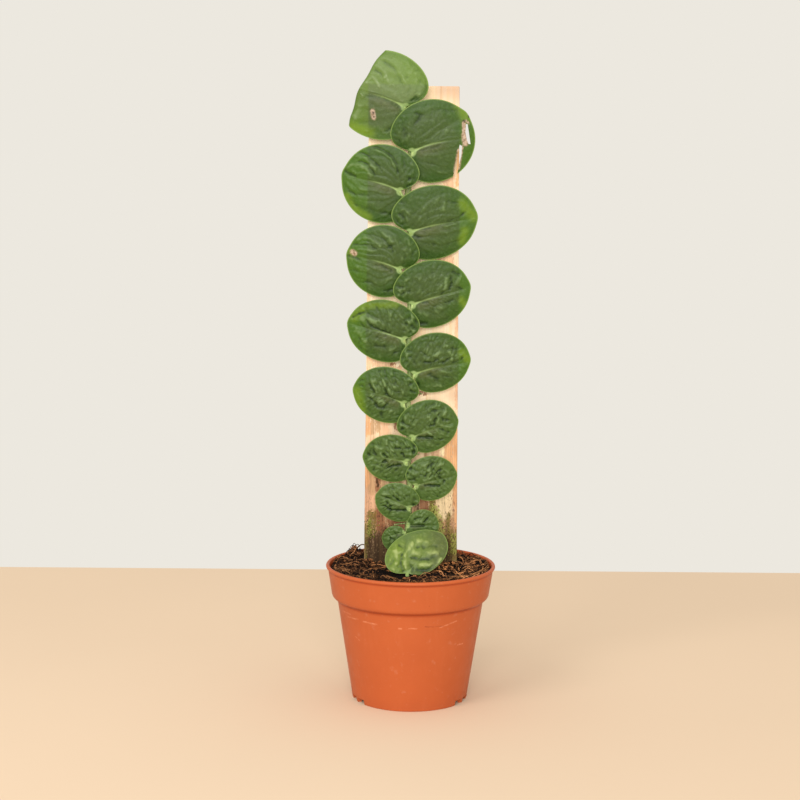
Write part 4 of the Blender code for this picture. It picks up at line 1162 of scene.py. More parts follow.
def free_spot(draw):
    """A seeded place on the soil that is clear of the board and the young leaf."""
    while True:
        radius = SOIL_REACH * math.sqrt(draw.random())
        turn = draw.uniform(0, math.tau)
        x = radius * math.cos(turn)
        y = radius * math.sin(turn)
        if not in_the_way(x, y):
            return x, y


def strand_stations(draw, x, y, lift):
    """A short bent line over the soil from a place, or nothing if it would meet board or leaf."""
    heading = draw.uniform(0, math.tau)
    length = draw.uniform(*FIBRE_LENGTH)
    bend = draw.uniform(-FIBRE_BEND, FIBRE_BEND)
    stations = []
    for step in range(FIBRE_STEPS + 1):
        share = step / FIBRE_STEPS
        turn = heading + bend * share
        x += math.cos(turn) * length / FIBRE_STEPS
        y += math.sin(turn) * length / FIBRE_STEPS
        reach = math.hypot(x, y)
        if reach > SOIL_REACH:
            x *= SOIL_REACH / reach
            y *= SOIL_REACH / reach
        if in_the_way(x, y):
            return None
        rise = soil_height(x, y) + lift * math.sin(math.pi * (0.15 + 0.75 * share)) - 0.3
        stations.append(Vector((x, y, rise)))
    return stations


def make_fibres():
    """Fine roots and coir fibres that lie on the soil and stand up in tangles, as one piece."""
    draw = random.Random(FIBRE_SEED)
    starts = [(*free_spot(draw), draw.uniform(-0.6, FIBRE_LIFT)) for _ in range(FIBRES)]
    for centre_x, centre_y, spread, count, lift in TANGLES:
        starts += [(draw.gauss(centre_x, spread / 2), draw.gauss(centre_y, spread / 2),
                    draw.uniform(0.3, 1.0) * lift) for _ in range(count)]
    points, faces, tones = [], [], []
    for x, y, lift in starts:
        stations = strand_stations(draw, x, y, lift)
        radius = draw.uniform(*FIBRE_RADIUS) * draw.uniform(0.5, 1.0)
        tone = draw.random() ** FIBRE_TONE_POWER * dryness(x, y)
        if stations is not None:
            path = smooth_path(stations, 3)
            tube_parts(path, taper(radius, radius / 2, path), 5, points, faces)
            tones += [tone] * (len(points) - len(tones))
    path = smooth_path([Vector(place) for place in TWIG], 5)
    tube_parts(path, taper(*TWIG_RADII, path), 8, points, faces)
    tones += [TWIG_TONE] * (len(points) - len(tones))
    fibres = add_object("peat_fibres", mesh_from(points, faces, "peat_fibres"))
    set_attribute(fibres.data, "tone", tones)
    fibres.data.materials.append(soil_paint("peat_fibre"))
    place_piece(fibres, 60, "soil_peat")


def chip_places(draw):
    """Where loose crumbs lie: all over the soil, and heaped against the board's foot."""
    places = []
    for _ in range(CHIPS):
        x, y = free_spot(draw)
        places.append((x, y, soil_height(x, y), draw.uniform(*CHIP_SIZE) * draw.uniform(0.4, 1.0)))
    for _ in range(HEAP_CHIPS):
        x = draw.gauss(CLUMP_X, CLUMP_RADIUS * 0.7)
        y = draw.gauss(CLUMP_Y, CLUMP_RADIUS * 0.7)
        if math.hypot(x, y) < SOIL_REACH:
            height = soil_height(x, y) + draw.uniform(-0.5, 2.0)
            places.append((x, y, height, draw.uniform(*HEAP_CHIP_SIZE)))
    for _ in range(FOOT_CHIPS):
        x = draw.uniform(-FOOT_CHIP_REACH, FOOT_CHIP_REACH)
        away = abs(draw.gauss(0, FOOT_CHIP_SPREAD))
        height = soil_height(x, PLANK_FRONT_Y - away) + draw.uniform(-0.5, 1.6) / (1 + away)
        places.append((x, PLANK_FRONT_Y - 0.9 - away, height, draw.uniform(*FOOT_CHIP_SIZE)))
    return places


def grains_mesh(name, draw, places, shape_grain):
    """Grains as one mesh: each ball's tone and its points come from a function of its place."""
    build = bmesh.new()
    layer = build.verts.layers.float.new("tone")
    for place in places:
        tone, moved = shape_grain(draw, *place)
        for vert in bmesh.ops.create_icosphere(build, subdivisions=1, radius=0.5)["verts"]:
            vert.co = moved(vert.co) * MM
            vert[layer] = tone
    bmesh.ops.recalc_face_normals(build, faces=build.faces)
    return mesh_of(build, name)


def shape_chip(draw, x, y, height, size):
    """One crumb's tone, and how its jagged, flattened and turned points lie."""
    centre = Vector((x, y, height + size * 0.12))
    tone = draw.random() ** CHIP_TONE_POWER * dryness(x, y)
    stretch = Vector((draw.uniform(0.7, 1.9), draw.uniform(0.6, 1.1), draw.uniform(0.35, 0.8))) * size
    turn = Matrix.Rotation(draw.uniform(0, math.tau), 3, "Z")
    turn = turn @ Matrix.Rotation(draw.uniform(-0.8, 0.8), 3, "X")

    def moved(point):
        return centre + turn @ Vector(part * wide * draw.uniform(0.65, 1.35)
                                      for part, wide in zip(point, stretch))
    return tone, moved


def make_chips():
    """Loose crumbs and bits of bark that lie on the soil, as one piece."""
    draw = random.Random(CHIP_SEED)
    chips = add_object("peat_crumbs", grains_mesh("peat_crumbs", draw, chip_places(draw), shape_chip))
    chips.data.materials.append(soil_paint("peat_crumb"))
    place_piece(chips, None, "soil_peat")


# Board

def plank_width(height):
    """The board's width at a height."""
    share = (height - PLANK_FOOT_Z) / (PLANK_TOP_Z - PLANK_FOOT_Z)
    return PLANK_FOOT_WIDTH + share * (PLANK_TOP_WIDTH - PLANK_FOOT_WIDTH)


def plank_section():
    """Points round the board's section, as shares of width and thickness."""
    front = [(-0.5 + index / PLANK_ACROSS, 0.0) for index in range(PLANK_ACROSS + 1)]
    right = [(0.5, index / PLANK_THROUGH) for index in range(1, PLANK_THROUGH)]
    back = [(0.5 - index / PLANK_ACROSS, 1.0) for index in range(PLANK_ACROSS + 1)]
    return front + right + back + [(-0.5, share) for _, share in reversed(right)]


def plank_point(share_x, share_y, height):
    """A point of the board's skin, its corners broken and its lower grain raised by wet."""
    half = plank_width(height) / 2
    x = share_x * 2 * half
    y = PLANK_FRONT_Y + share_y * PLANK_THICKNESS
    inward = 1 if share_y < 0.5 else -1
    worn = 1 / (1 + math.exp((height - WORN_BELOW_Z) / WORN_BLEND))
    from_side = half - abs(x)
    from_face = min(share_y, 1 - share_y) * PLANK_THICKNESS
    if from_side < PLANK_EDGE and from_face < PLANK_EDGE:
        inset = PLANK_EDGE * 0.35
        x -= math.copysign(inset, x)
        y += inset * inward
    ridge = noise.noise(Vector((x * 0.9, y * 0.5, height * 0.03)))
    ridge += 0.5 * noise.noise(Vector((x * 2.2, y, height * 0.06 + 50)))
    depth = max(GRAIN_RELIEF * (0.15 + 0.85 * worn) * (0.35 + ridge), 0.0)
    if from_face < 0.01:
        y += depth * inward
    if from_side < 0.01:
        x -= math.copysign(depth, x)
    return x, y, height


def leaf_nearness(x, z):
    """How close each point of the board's face is to a leaf that shades it, from 0 to 1, which sets the
    painted light there.
    """
    total = np.zeros_like(x)
    for leaf in CLIMBING_LEAVES:
        centre_u, centre_v, _, _ = blade_oval(leaf)
        u, v = turned_back(leaf, x, z)
        away = np.hypot(u - centre_u, v - centre_v)
        away = away - outline_radius(leaf, np.arctan2(v - centre_v, u - centre_u))
        total += np.clip(1 - away / GAP_REACH, 0, 1) ** 2
    return np.clip(total, 0, 1)


def set_plank_attributes(mesh):
    """What the board's material reads: its patches, and where it is painted lighter against the leaves'
    shade.
    """
    x, y, z = mesh_points(mesh)
    front = y < PLANK_FRONT_Y + 1.5
    wide = x + 0.8 * noise_at(x, z * 0.12, 0.5, 3.0)
    tall = z + 3.0 * noise_at(x, z * 0.10, 0.6, 8.0)
    for tone in PLANK_TONES:
        patches = [patch[1:] for patch in PLANK_PATCHES if patch[0] == tone]
        set_attribute(mesh, tone, stroke_values(patches, wide, tall, 0.2, 1.9) * front)
    set_attribute(mesh, "near", leaf_nearness(x, z) * front)


def moss_places(draw):
    """Seeded places of moss grains, in the board's green patches."""
    green = [patch for patch in PLANK_PATCHES if patch[0] in ("olive", "moss")]
    places = []
    for _ in range(MOSS_GRAINS):
        _, first_x, first_z, last_x, last_z, half_width = draw.choice(green)
        share = draw.uniform(-0.15, 1.15)
        x = first_x + share * (last_x - first_x) + draw.gauss(0, half_width * 0.8)
        z = first_z + share * (last_z - first_z)
        if abs(x) < plank_width(z) / 2 - 0.3:
            places.append((x, z, draw.uniform(*MOSS_SIZE)))
    return places


def shape_moss(draw, x, z, size):
    """One moss grain's tone, and how its points lie, pressed to the board."""
    def moved(point):
        jag = draw.uniform(0.7, 1.2)
        return Vector((x, PLANK_FRONT_Y, z)) + Vector((point.x * jag, point.y * 0.7, point.z * jag)) * size
    return draw.random(), moved


def make_moss():
    """Grains of moss on the damp part of the board, as one piece."""
    draw = random.Random(MOSS_SEED)
    moss = add_object("board_moss", grains_mesh("board_moss", draw, moss_places(draw), shape_moss))
    paint = Paint("moss")
    fine = paint.noise(1500.0, 3.0)
    dark, light, fleck = (linear(*tone) for tone in MOSS_TONES)
    color = paint.mix(paint.attribute("tone"), dark, light)
    color = paint.mix(paint.span(fine, 0.45, 0.75, 0.0, 0.6), color, fleck)
    moss.data.materials.append(paint.finish(color, 0.95, paint.bump(fine, 0.8, 0.0004), specular=0.1))
    place_piece(moss, 80, "pale_pine")


def plank_paint():
    """Pale pine: upright grain, patches of stain with a few strokes of painted shadow, algae and damp
    towards the wet soil, and painted light near the leaves.
    """
    paint = Paint("weathered_pine")
    height = paint.axis(2)
    drawn = paint.scaled(1.0, 1.0, 0.05)
    broad = paint.noise(120.0, 3.0, drawn)
    rings = paint.noise(330.0, 4.0, drawn, roughness=0.65)
    fine = paint.noise(1500.0, 3.0, paint.scaled(1.0, 1.0, 0.03))
    specks = paint.noise(1100.0, 3.0, paint.scaled(1.0, 1.0, 0.35))
    streaks = paint.span(paint.noise(420.0, 3.0, paint.scaled(1.0, 1.0, 0.035)), 0.40, 0.62)
    seam = paint.math("ABSOLUTE", paint.math("SUBTRACT", paint.axis(0), SEAM_X * MM))
    seam_rise = paint.span(height, SEAM_FROM_Z * MM, (SEAM_FROM_Z + 10) * MM, 0.0, 0.55)
    wet_edge = paint.math("ADD", height, paint.swing(broad, 0.16))
    worn = paint.times(paint.span(height, 0.225, 0.160), paint.span(rings, 0.50, 0.66))
    tones = linear_tones(WOOD_TONES)
    color = paint.layered(
        paint.mix(paint.span(broad, 0.35, 0.65), tones["clean"], tones["warm"]),
        (paint.span(rings, 0.48, 0.72, 0.0, 0.50), tones["ring"]),
        (paint.span(fine, 0.50, 0.80, 0.0, 0.30), tones["grain"]),
        (paint.times(paint.span(seam, 0.0004, 0.0001), seam_rise), tones["seam"]),
        (paint.span(wet_edge, 0.225, 0.120, 0.0, 0.75),
         paint.mix(streaks, tones["damp"], tones["damp_streak"])),
        (paint.span(wet_edge, 0.135, 0.098, 0.0, 0.85),
         paint.mix(streaks, tones["wet"], tones["wet_streak"])),
        (paint.times(worn, 0.55), tones["worn"]),
    )
    uneven = paint.math("ADD", paint.swing(rings, 1.4), paint.swing(specks, 2.4))
    grainy = paint.math("ADD", uneven, paint.swing(specks, 1.8))
    for tone, shown in PLANK_TONES.items():
        share = paint.attribute(tone)
        ragged = paint.math("ADD", share, grainy if tone in GRAINY_TONES else uneven)
        broken = paint.times(paint.span(ragged, 0.20, 0.75), paint.span(share, 0.02, 0.35, 0.0, 0.85))
        shown = linear(*shown)
        shown = paint.mix(paint.span(fine, 0.40, 0.75), toned(shown, 0.80), toned(shown, 0.52))
        color = paint.mix(broken, color, shown)
    low = paint.span(height, 0.165, 0.115)
    grime = paint.times(low, paint.span(specks, 0.46, 0.34))
    dried = paint.times(low, paint.span(specks, 0.58, 0.70))
    color = paint.layered(color, (paint.times(grime, 0.75), tones["grime"]),
                          (paint.times(dried, 0.45), tones["dried"]))
    # Painted light: the face is lightened near the leaves, where their shade falls
    near = paint.times(paint.attribute("near"), paint.span(height, 0.12, 0.22, 0.35, 1.0))
    color = paint.mix(near, color, paint.mix(1.0, color, GAP_LIGHT, blend="MULTIPLY"))
    relief = paint.bump(fine, 0.25, 0.0003, paint.bump(rings, 0.35, 0.0006))
    return paint.finish(color, 0.75, relief, specular=0.12)


def make_plank():
    """The board as one skin, finely divided so that its grain can stand up."""
    section = plank_section()
    count = len(section)
    inner = PLANK_TOP_Z - PLANK_FOOT_Z - 2 * PLANK_EDGE
    heights = [PLANK_FOOT_Z, PLANK_TOP_Z]
    heights[1:1] = [PLANK_FOOT_Z + PLANK_EDGE + inner * step / PLANK_LEVELS
                    for step in range(PLANK_LEVELS + 1)]
    middle_y = PLANK_FRONT_Y + PLANK_THICKNESS / 2
    points = []
    for height in heights:
        for share_x, share_y in section:
            x, y, z = plank_point(share_x, share_y, height)
            if height in (PLANK_FOOT_Z, PLANK_TOP_Z):
                x -= math.copysign(min(abs(x), PLANK_EDGE * 0.6), x)
                y -= math.copysign(min(abs(y - middle_y), PLANK_EDGE * 0.6), y - middle_y)
            points.append((x, y, z))
    faces = ring_faces(len(heights), count)
    across = count - PLANK_THROUGH
    for start in (0, (len(heights) - 1) * count):
        for index in range(PLANK_ACROSS):
            faces.append((start + index, start + index + 1,
                          start + across - index - 1, start + across - index))
        right = start + PLANK_ACROSS
        faces.append(tuple(range(right, right + PLANK_THROUGH + 1)))
        faces.append((*range(start + across, start + count), start))
    plank = add_object("pine_board", mesh_from(points, faces, "pine_board"))
    set_plank_attributes(plank.data)
    plank.data.materials.append(plank_paint())
    place_piece(plank, 35, "pale_pine", "plank")
    make_moss()


# Stem

def stem_x(height):
    """Where the stem runs at a height: straight in the soil, then swaying towards each leaf."""
    lowest = CLIMBING_LEAVES[-1].base_z - PETIOLE_DROP - STEM_STRAIGHT
    stations = [(lowest, STEM_X)]
    for leaf in reversed(CLIMBING_LEAVES):
        stations.append((leaf.base_z - PETIOLE_DROP, STEM_X + STEM_BEND * (leaf.base_x - STEM_X)))
    stations.append((STEM_TOP_Z, stations[-1][1]))
    return between(stations, max(height, lowest), eased=True)


def stem_stations():
    """Centres and radii along the stem, a little thinner between the nodes."""
    nodes = [STEM_FOOT_Z, POT_HEIGHT]
    nodes += sorted(leaf.base_z - PETIOLE_DROP for leaf in CLIMBING_LEAVES)
    nodes.append(STEM_TOP_Z - STEM_TIP_LENGTH)
    stations = []
    for low, high in zip(nodes, nodes[1:]):
        for step in range(STEM_STEPS):
            share = step / STEM_STEPS
            waist = 1 - STEM_WAIST * math.sin(math.pi * share) ** 0.5
            stations.append((low + (high - low) * share, STEM_RADIUS * waist))
    for step in range(STEM_STEPS + 1):
        share = step / STEM_STEPS
        radius = STEM_TIP_RADIUS + (STEM_RADIUS - STEM_TIP_RADIUS) * math.sqrt(1 - share * share)
        stations.append((nodes[-1] + STEM_TIP_LENGTH * share, radius))
    path = [Vector((stem_x(height), STEM_Y, height)) for height, _ in stations]
    return path, [radius for _, radius in stations]


def root_paths():
    """The source's clasping roots, each with a fine wander along the board."""
    draw = random.Random(ROOT_SEED)
    roots = []
    board_y = PLANK_FRONT_Y - CLEARANCE - ROOT_RADIUS
    for leaf in CLIMBING_LEAVES[:-1]:
        for hand in (-1, 1):
            height = leaf.base_z - PETIOLE_DROP - draw.uniform(*ROOT_BELOW_NODE)
            length = draw.uniform(*ROOT_LENGTH)
            drop = draw.uniform(*ROOT_SLOPE) * length
            start = Vector((stem_x(height), board_y, height))
            bow = draw.uniform(-ROOT_BOW, ROOT_BOW)
            middle = start + Vector((hand * length / 2, 0, bow - drop / 2))
            end = start + Vector((hand * length, 0, -drop))
            roots.append(smooth_path([start, middle, end], ROOT_STEPS // 2))
    return roots


def green_paint(name):
    """Green plant skin with lengthwise streaks."""
    dark, light = (linear(*tone) for tone in GREEN_TONES[name])
    paint = Paint(name)
    streaks = paint.noise(1.0, 3.0, paint.scaled(900.0, 900.0, 160.0))
    color = paint.layered(
        dark,
        (paint.span(streaks, 0.35, 0.65), light),
        (paint.span(paint.noise(180.0, 3.0), 0.55, 0.75, 0.0, 0.4), linear(*GREEN_FLECK)),
    )
    return paint.finish(color, 0.5, paint.bump(streaks, 0.3, 0.0003), specular=0.35)


def make_stem():
    """The climbing stem with its clasping roots, as one piece."""
    points, faces = [], []
    tube_parts(*stem_stations(), STEM_SIDES, points, faces)
    for root in root_paths():
        tube_parts(root, taper(ROOT_RADIUS, ROOT_TIP_RADIUS, root), ROOT_SIDES, points, faces)
    stem = add_object("climbing_stem", mesh_from(points, faces, "climbing_stem"))
    stem.data.materials.append(green_paint("stem_skin"))
    place_piece(stem, 60, "green_stem", "stem")


# Leaves

def wrapped(angle):
    """Angles brought between minus and plus half a turn."""
    return (angle + math.pi) % math.tau - math.pi


def turned(u, v, degrees):
    """Flat places turned by an angle."""
    turn = math.radians(degrees)
    return u * math.cos(turn) - v * math.sin(turn), u * math.sin(turn) + v * math.cos(turn)


def turned_back(leaf, x, z):
    """A leaf's own flat places, along and across it from its base, of places x and z."""
    return turned(leaf.side * (x - leaf.base_x), z - leaf.base_z, -leaf.axis)


def flat_places(leaf, u, v):
    """Where flat blade points stand, as x and z, before any fold."""
    across, rise = turned(u, v, leaf.axis)
    return leaf.base_x + leaf.side * across, leaf.base_z + rise


def blade_oval(leaf):
    """The oval that the blade's outline is drawn on: its centre and its half axes."""
    return ((leaf.length - leaf.back) / 2, (leaf.up - leaf.down) / 2,
            (leaf.length + leaf.back) / 2, (leaf.up + leaf.down) / 2)


def base_direction(leaf):
    """The direction from the oval's centre to the leaf's base."""
    centre_u, centre_v, _, _ = blade_oval(leaf)
    return math.atan2(-centre_v, -centre_u)


def tip_direction(leaf):
    """The direction from the oval's centre to the end of the midrib."""
    centre_u, centre_v, half_long, half_wide = blade_oval(leaf)
    turn = math.radians(leaf.rib)
    along = Vector((math.cos(turn) / half_long, math.sin(turn) / half_wide))
    start = Vector((-centre_u / half_long, -centre_v / half_wide))
    b = along.dot(start)
    reach = (-b + math.sqrt(b * b - along.dot(along) * (start.dot(start) - 1))) / along.dot(along)
    return math.atan2(reach * math.sin(turn) - centre_v, reach * math.cos(turn) - centre_u)


def oval_radius(leaf, angle):
    """The plain oval's radius in a direction."""
    _, _, half_long, half_wide = blade_oval(leaf)
    return 1 / np.hypot(np.cos(angle) / half_long, np.sin(angle) / half_wide)


def outline_radius(leaf, angle):
    """The outline's distance from the oval's centre, with the sinus at the base and the tip."""
    centre_u, centre_v, _, _ = blade_oval(leaf)
    base = base_direction(leaf)
    depth = 1 - math.hypot(centre_u, centre_v) / oval_radius(leaf, base)
    sinus = depth * np.exp(-(wrapped(angle - base) / SINUS_SPREAD) ** 2)
    point = TIP_POINT * np.exp(-(wrapped(angle - tip_direction(leaf)) / TIP_SPREAD) ** 2)
    return oval_radius(leaf, angle) * (1 - sinus) * (1 + point)


def outline_angles(leaf, sides):
    """Directions round the outline, with one at the base and one at the tip."""
    base = base_direction(leaf)
    first = (tip_direction(leaf) - base) % math.tau
    count = round(sides * first / math.tau)
    rest = math.tau - first
    near = base + first * np.arange(count) / count
    return np.concatenate([near, base + first + rest * np.arange(sides - count) / (sides - count)])


def flat_points(leaf, angle, share):
    """Points of the flat blade, by direction and share of the way to the edge."""
    centre_u, centre_v, _, _ = blade_oval(leaf)
    radius = outline_radius(leaf, angle) * share * OUTLINE_TRIM
    return centre_u + radius * np.cos(angle), centre_v + radius * np.sin(angle)


def blade_relief(leaf, u, v, share, angle):
    """How far the blade stands forward of its leaning plane, as in the part's source."""
    from_rib = np.abs(turned(u, v, -leaf.rib)[1])
    relief = BLADE_DOME * (1 - share * share)
    relief += EDGE_WAVE * share * share * np.sin(EDGE_WAVES * angle + leaf.base_z)
    relief -= RIB_GROOVE * np.exp(-from_rib / RIB_GROOVE_WIDTH) * (1 - share ** 4)
    return relief - TIP_DROOP * np.maximum(u, 0) ** 2


def rib_places(number, leaf, u, v):
    """Places along and across the midrib, which leaves the base steeply and then flattens."""
    look = LOOKS[number - 1]
    along, across = turned(u, v, -look.vein)
    share = np.clip(along / leaf.length, 0, 1)
    return along, across - look.bow * RIB_BOW_PEAK * share * (1 - share) ** 2


def seen_folds(number, leaf, u, v):
    """The ridges and creases that are given one by one, with a little wander in their lines."""
    x, z = flat_places(leaf, u, v)
    x = x + FOLD_WANDER * noise_at(u, v, 0.30, number * 2.3)
    z = z + FOLD_WANDER * noise_at(u, v, 0.30, number * 2.3 + 9)
    widen = YOUNG_FOLD_WIDTH if leaf is SOIL_LEAF else 1.0
    return sum(height * np.exp(-(line_gap(x, z, line) / (half_width * widen)) ** 2)
               for height, half_width, *line in FOLDS[number])


def blisters(number, along, across):
    """Domed cells between narrow creases, drawn out along the lateral veins, from 0 to 1."""
    domes = np.zeros_like(along)
    for index, (p, q) in enumerate(zip(along, across)):
        place = Vector(((p - BLISTER_SLOPE * abs(q)) / BLISTER_WIDE, q / BLISTER_LONG, number * 4.7))
        first, second = noise.voronoi(place)[0][:2]
        domes[index] = min((second - first) / BLISTER_CREASE, 1.0) ** BLISTER_ROUNDING
    return domes


def pleats(number, leaf, u, v, wander):
    """Long pleats that fan out from base to tip, as a saw over the bend between both."""
    vein = math.radians(LOOKS[number - 1].vein)
    to_tip_u = leaf.length * math.cos(vein) - u
    to_tip_v = leaf.length * math.sin(vein) - v
    bend = np.abs(wrapped(np.arctan2(v, u) - np.arctan2(to_tip_v, to_tip_u)))
    saw = (bend / PLEAT_STEP + 0.5 * wander + 0.15 * number) % 1.0
    pleat = saw - step_up(saw, 0.78, 1.0) - 0.35
    to_tip = np.hypot(to_tip_u, to_tip_v)
    return pleat * step_up(bend, 0.3 * PLEAT_STEP, PLEAT_STEP) * step_up(to_tip, 2, 10)


def leaf_fields(number, leaf, u, v, share):
    """The skin's fine relief in millimetres, and how far each point is ridge or crease."""
    look = LOOKS[number - 1]
    along, across = rib_places(number, leaf, u, v)
    wander = noise_at(u, v, 0.10, number * 7.3)
    calm = step_up(np.hypot(u, v), 3, 12) * (1 - step_up(share, 0.86, 0.99))
    pleat = look.pleat * pleats(number, leaf, u, v, wander) * calm
    patch = step_up(noise_at(u, v, 0.12, number * 5.7 + 40), -0.45, 0.20)
    domes = blisters(number, along + 1.2 * wander, across) - BLISTER_LEVEL
    domes = look.blister * domes * calm * step_up(np.abs(across), 0.4, 2.5) * (0.35 + 0.65 * patch)
    lobe = 1 + 1.9 * step_up(7 - u, 0, 9) * step_up(v, 1, 7)
    pebble = look.pebble * noise_at(u, v, 1 / PEBBLE_SPACING, number * 11.9 + 60) * lobe
    pebble = pebble * (1 - step_up(share, 0.90, 1.0))
    placed = seen_folds(number, leaf, u, v) * (1 - step_up(share, 0.93, 1.0)) * FOLD_SHARES[number - 1]
    line = np.exp(-(across / RIB_LINE_WIDTH) ** 2) * step_up(along, 0, 4)
    line = line * (1 - step_up(share, 0.70, 0.95)) * (0.3 if leaf is SOIL_LEAF else 1.0)
    relief = 2.0 * pleat + 1.5 * domes + 1.6 * pebble + FOLD_DEPTH_SHARE * placed - RIB_LINE_DEPTH * line
    cavity = 2.2 * pleat + 2.6 * domes + 2.6 * pebble + placed + 0.10 * noise_at(u, v, 0.9, number * 3.3)
    return relief, np.clip(cavity, -1.2, 1.2)


def fold_start(v):
    """Where along the leaf the fold's arc starts, at a height across it: a bowed line."""
    rise = v - FOLD_HEIGHT
    wave = FOLD_WAVE * np.cos(math.tau * (v - FOLD_WAVE_CREST) / FOLD_WAVE_LENGTH) - FOLD_WAVE_INSET
    return (FOLD_REACH + FOLD_SLOPE * rise + FOLD_BOW * rise * rise - FOLD_RADIUS
            + wave * step_up(v, *FOLD_WAVE_FROM))


def folded_back(u, v):
    """The top leaf's fold: what lies past the bowed line turns round an arc and runs back."""
    start = fold_start(v)
    past = np.maximum(u - start, 0)
    turn = np.minimum(past / FOLD_RADIUS, FOLD_TURN)
    straight = past - turn * FOLD_RADIUS
    folded_u = np.minimum(u, start) + FOLD_RADIUS * np.sin(turn) + straight * np.cos(turn)
    return folded_u, FOLD_RADIUS * (1 - np.cos(turn)) + straight * np.sin(turn), turn


def share_past_fold(leaf, angle, distance):
    """The shares of the way to the edge at which the blade has run a distance past the fold."""
    low = np.zeros_like(angle)
    high = np.full_like(angle, 2.0)
    for _ in range(FOLD_SEARCH_STEPS):
        middle = (low + high) / 2
        u, v = flat_points(leaf, angle, middle)
        before = u - fold_start(v) < distance
        low = np.where(before, middle, low)
        high = np.where(before, high, middle)
    return low


def ring_shares(leaf, angle, fold):
    """Rows of ring places: even, or gathered where the blade folds."""
    if not fold:
        return np.outer(np.arange(1, BLADE_RINGS + 1) / BLADE_RINGS, np.ones_like(angle))
    arc_start = np.minimum(share_past_fold(leaf, angle, 0), LAST_ARC_START)
    arc_end = share_past_fold(leaf, angle, FOLD_RADIUS * FOLD_TURN)
    arc_end = np.minimum(np.maximum(arc_end, arc_start + LEAST_ARC), LAST_ARC_START + 1.5 * LEAST_ARC)
    rows = []
    stretches = zip(FOLDED_RINGS, (0 * angle, arc_start, arc_end), (arc_start, arc_end, 0 * angle + 1))
    for rings, low, high in stretches:
        rows += [low + (high - low) * ring / rings for ring in range(1, rings + 1)]
    return np.array(rows)


def blade_places(number, leaf, angle, share, fold, fine=True):
    """The places of blade points, raised, folded and leaning, as rows of x, y and z."""
    u, v = flat_points(leaf, angle, share)
    relief = blade_relief(leaf, u, v, share, angle)
    detail = leaf_fields(number, leaf, u, v, share)[0] if fine else 0.0
    if fold:
        u, backward, turn = folded_back(u, v)
        relief = relief + detail * np.cos(turn) - backward
    else:
        relief = relief + detail
    x, z = flat_places(leaf, u, v)
    lean = (z - leaf.base_z) * math.tan(math.radians(leaf.lean))
    return np.stack([x, leaf.base_y - lean - relief, z], axis=1)


def blade_mesh(number, name, leaf, fold):
    """The blade as one fine sheet, with its flat places kept for the material."""
    sides = FOLDED_SIDES if fold else BLADE_SIDES
    angles = outline_angles(leaf, sides)
    shares = ring_shares(leaf, angles, fold)
    rings = len(shares)
    angle = np.concatenate([[0.0], np.tile(angles, rings)])
    share = np.concatenate([[0.0], shares.ravel()])
    places = blade_places(number, leaf, angle, share, fold)
    faces = fan(0, 1, sides) + [(a, d, c, b) for a, b, c, d in ring_faces(rings, sides, 1)]
    if leaf.side < 0:
        faces = [face[::-1] for face in faces]
    mesh = bpy.data.meshes.new(name)
    mesh.from_pydata((places * MM).tolist(), [], faces)
    u, v = flat_points(leaf, angle, share)
    set_blade_attributes(mesh, number, leaf, u, v, share, angle)
    return mesh


def set_blade_attributes(mesh, number, leaf, u, v, share, angle):
    """What the leaf's material reads: its veins, creases, pale parts and marks."""
    along, across = rib_places(number, leaf, u, v)
    flat_x, flat_z = flat_places(leaf, u, v)
    x, _, z = mesh_points(mesh)
    from_base = np.hypot(u, v)
    from_edge = (1 - share) * outline_radius(leaf, angle)
    size = (leaf.length + leaf.back) / FULL_LEAF
    wedge_width = 1.9 * size * np.clip(1 - along / (8 * size), 0, 1)
    wedge = (1 - step_up(np.abs(across), wedge_width - 0.9, wedge_width + 0.6)) * step_up(along, -3, -1)
    core = 1 - step_up(from_base, 1.0 + 0.7 * size, 2.4 + 1.8 * size)
    hem = (1 - step_up(from_edge, 0.4, 1.5)) * (1 - step_up(from_base, 2 * size, 6 * size))
    hem = hem * step_up(v, -1, 1)
    olive = step_up(-across, 0.1, 0.9) * (1 - step_up(-across, 2.0 * size, 9.0 * size))
    olive = olive * (1 - step_up(along, 14 * size, 30 * size)) * step_up(along, 1, 5)
    rib = np.exp(-(across / 0.55) ** 2) * step_up(along, 0, 3) * (1 - step_up(along, 12 * size, 28 * size))
    past_board = np.maximum(np.abs(x) - plank_width(z) / 2, z - PLANK_TOP_Z)
    values = {
        "share": share,
        "rib": rib * (FAINT_RIB if number >= FIRST_SMALL_LEAF else 1.0),
        "pale": np.maximum.reduce([core, wedge, 0.5 * hem]),
        "cavity": leaf_fields(number, leaf, u, v, share)[1] * 0.5 + 0.5,
        # On the young leaf the olive is painted shade on its right side
        "olive": step_up(flat_x, 6, 22) if leaf is SOIL_LEAF else olive,
        # Painted light where the leaf reaches past the board, as light coming through it from behind
        "open": step_up(past_board, -0.6, 1.0),
        # Painted sheen: the top leaf's upper half is painted lighter and greyer
        "gloss": step_up(across, 0, 2) * step_up(1 - share, 0.03, 0.2) * (number == FOLDED_LEAF),
    }
    for name, edges in MARK_EDGES.items():
        values[name] = stroke_values(MARKS[name].get(number, ()), flat_x, flat_z, *edges)
    for name, numbers in values.items():
        set_attribute(mesh, name, numbers)


def reset_blade_attributes(mesh, number, leaf):
    """Find the attributes again from the points' places, after the blade was cut."""
    x, _, z = mesh_points(mesh)
    u, v = turned_back(leaf, x, z)
    centre_u, centre_v, _, _ = blade_oval(leaf)
    angle = np.arctan2(v - centre_v, u - centre_u)
    share = np.hypot(u - centre_u, v - centre_v) / outline_radius(leaf, angle)
    set_blade_attributes(mesh, number, leaf, u, v, np.clip(share, 0, 1), angle)


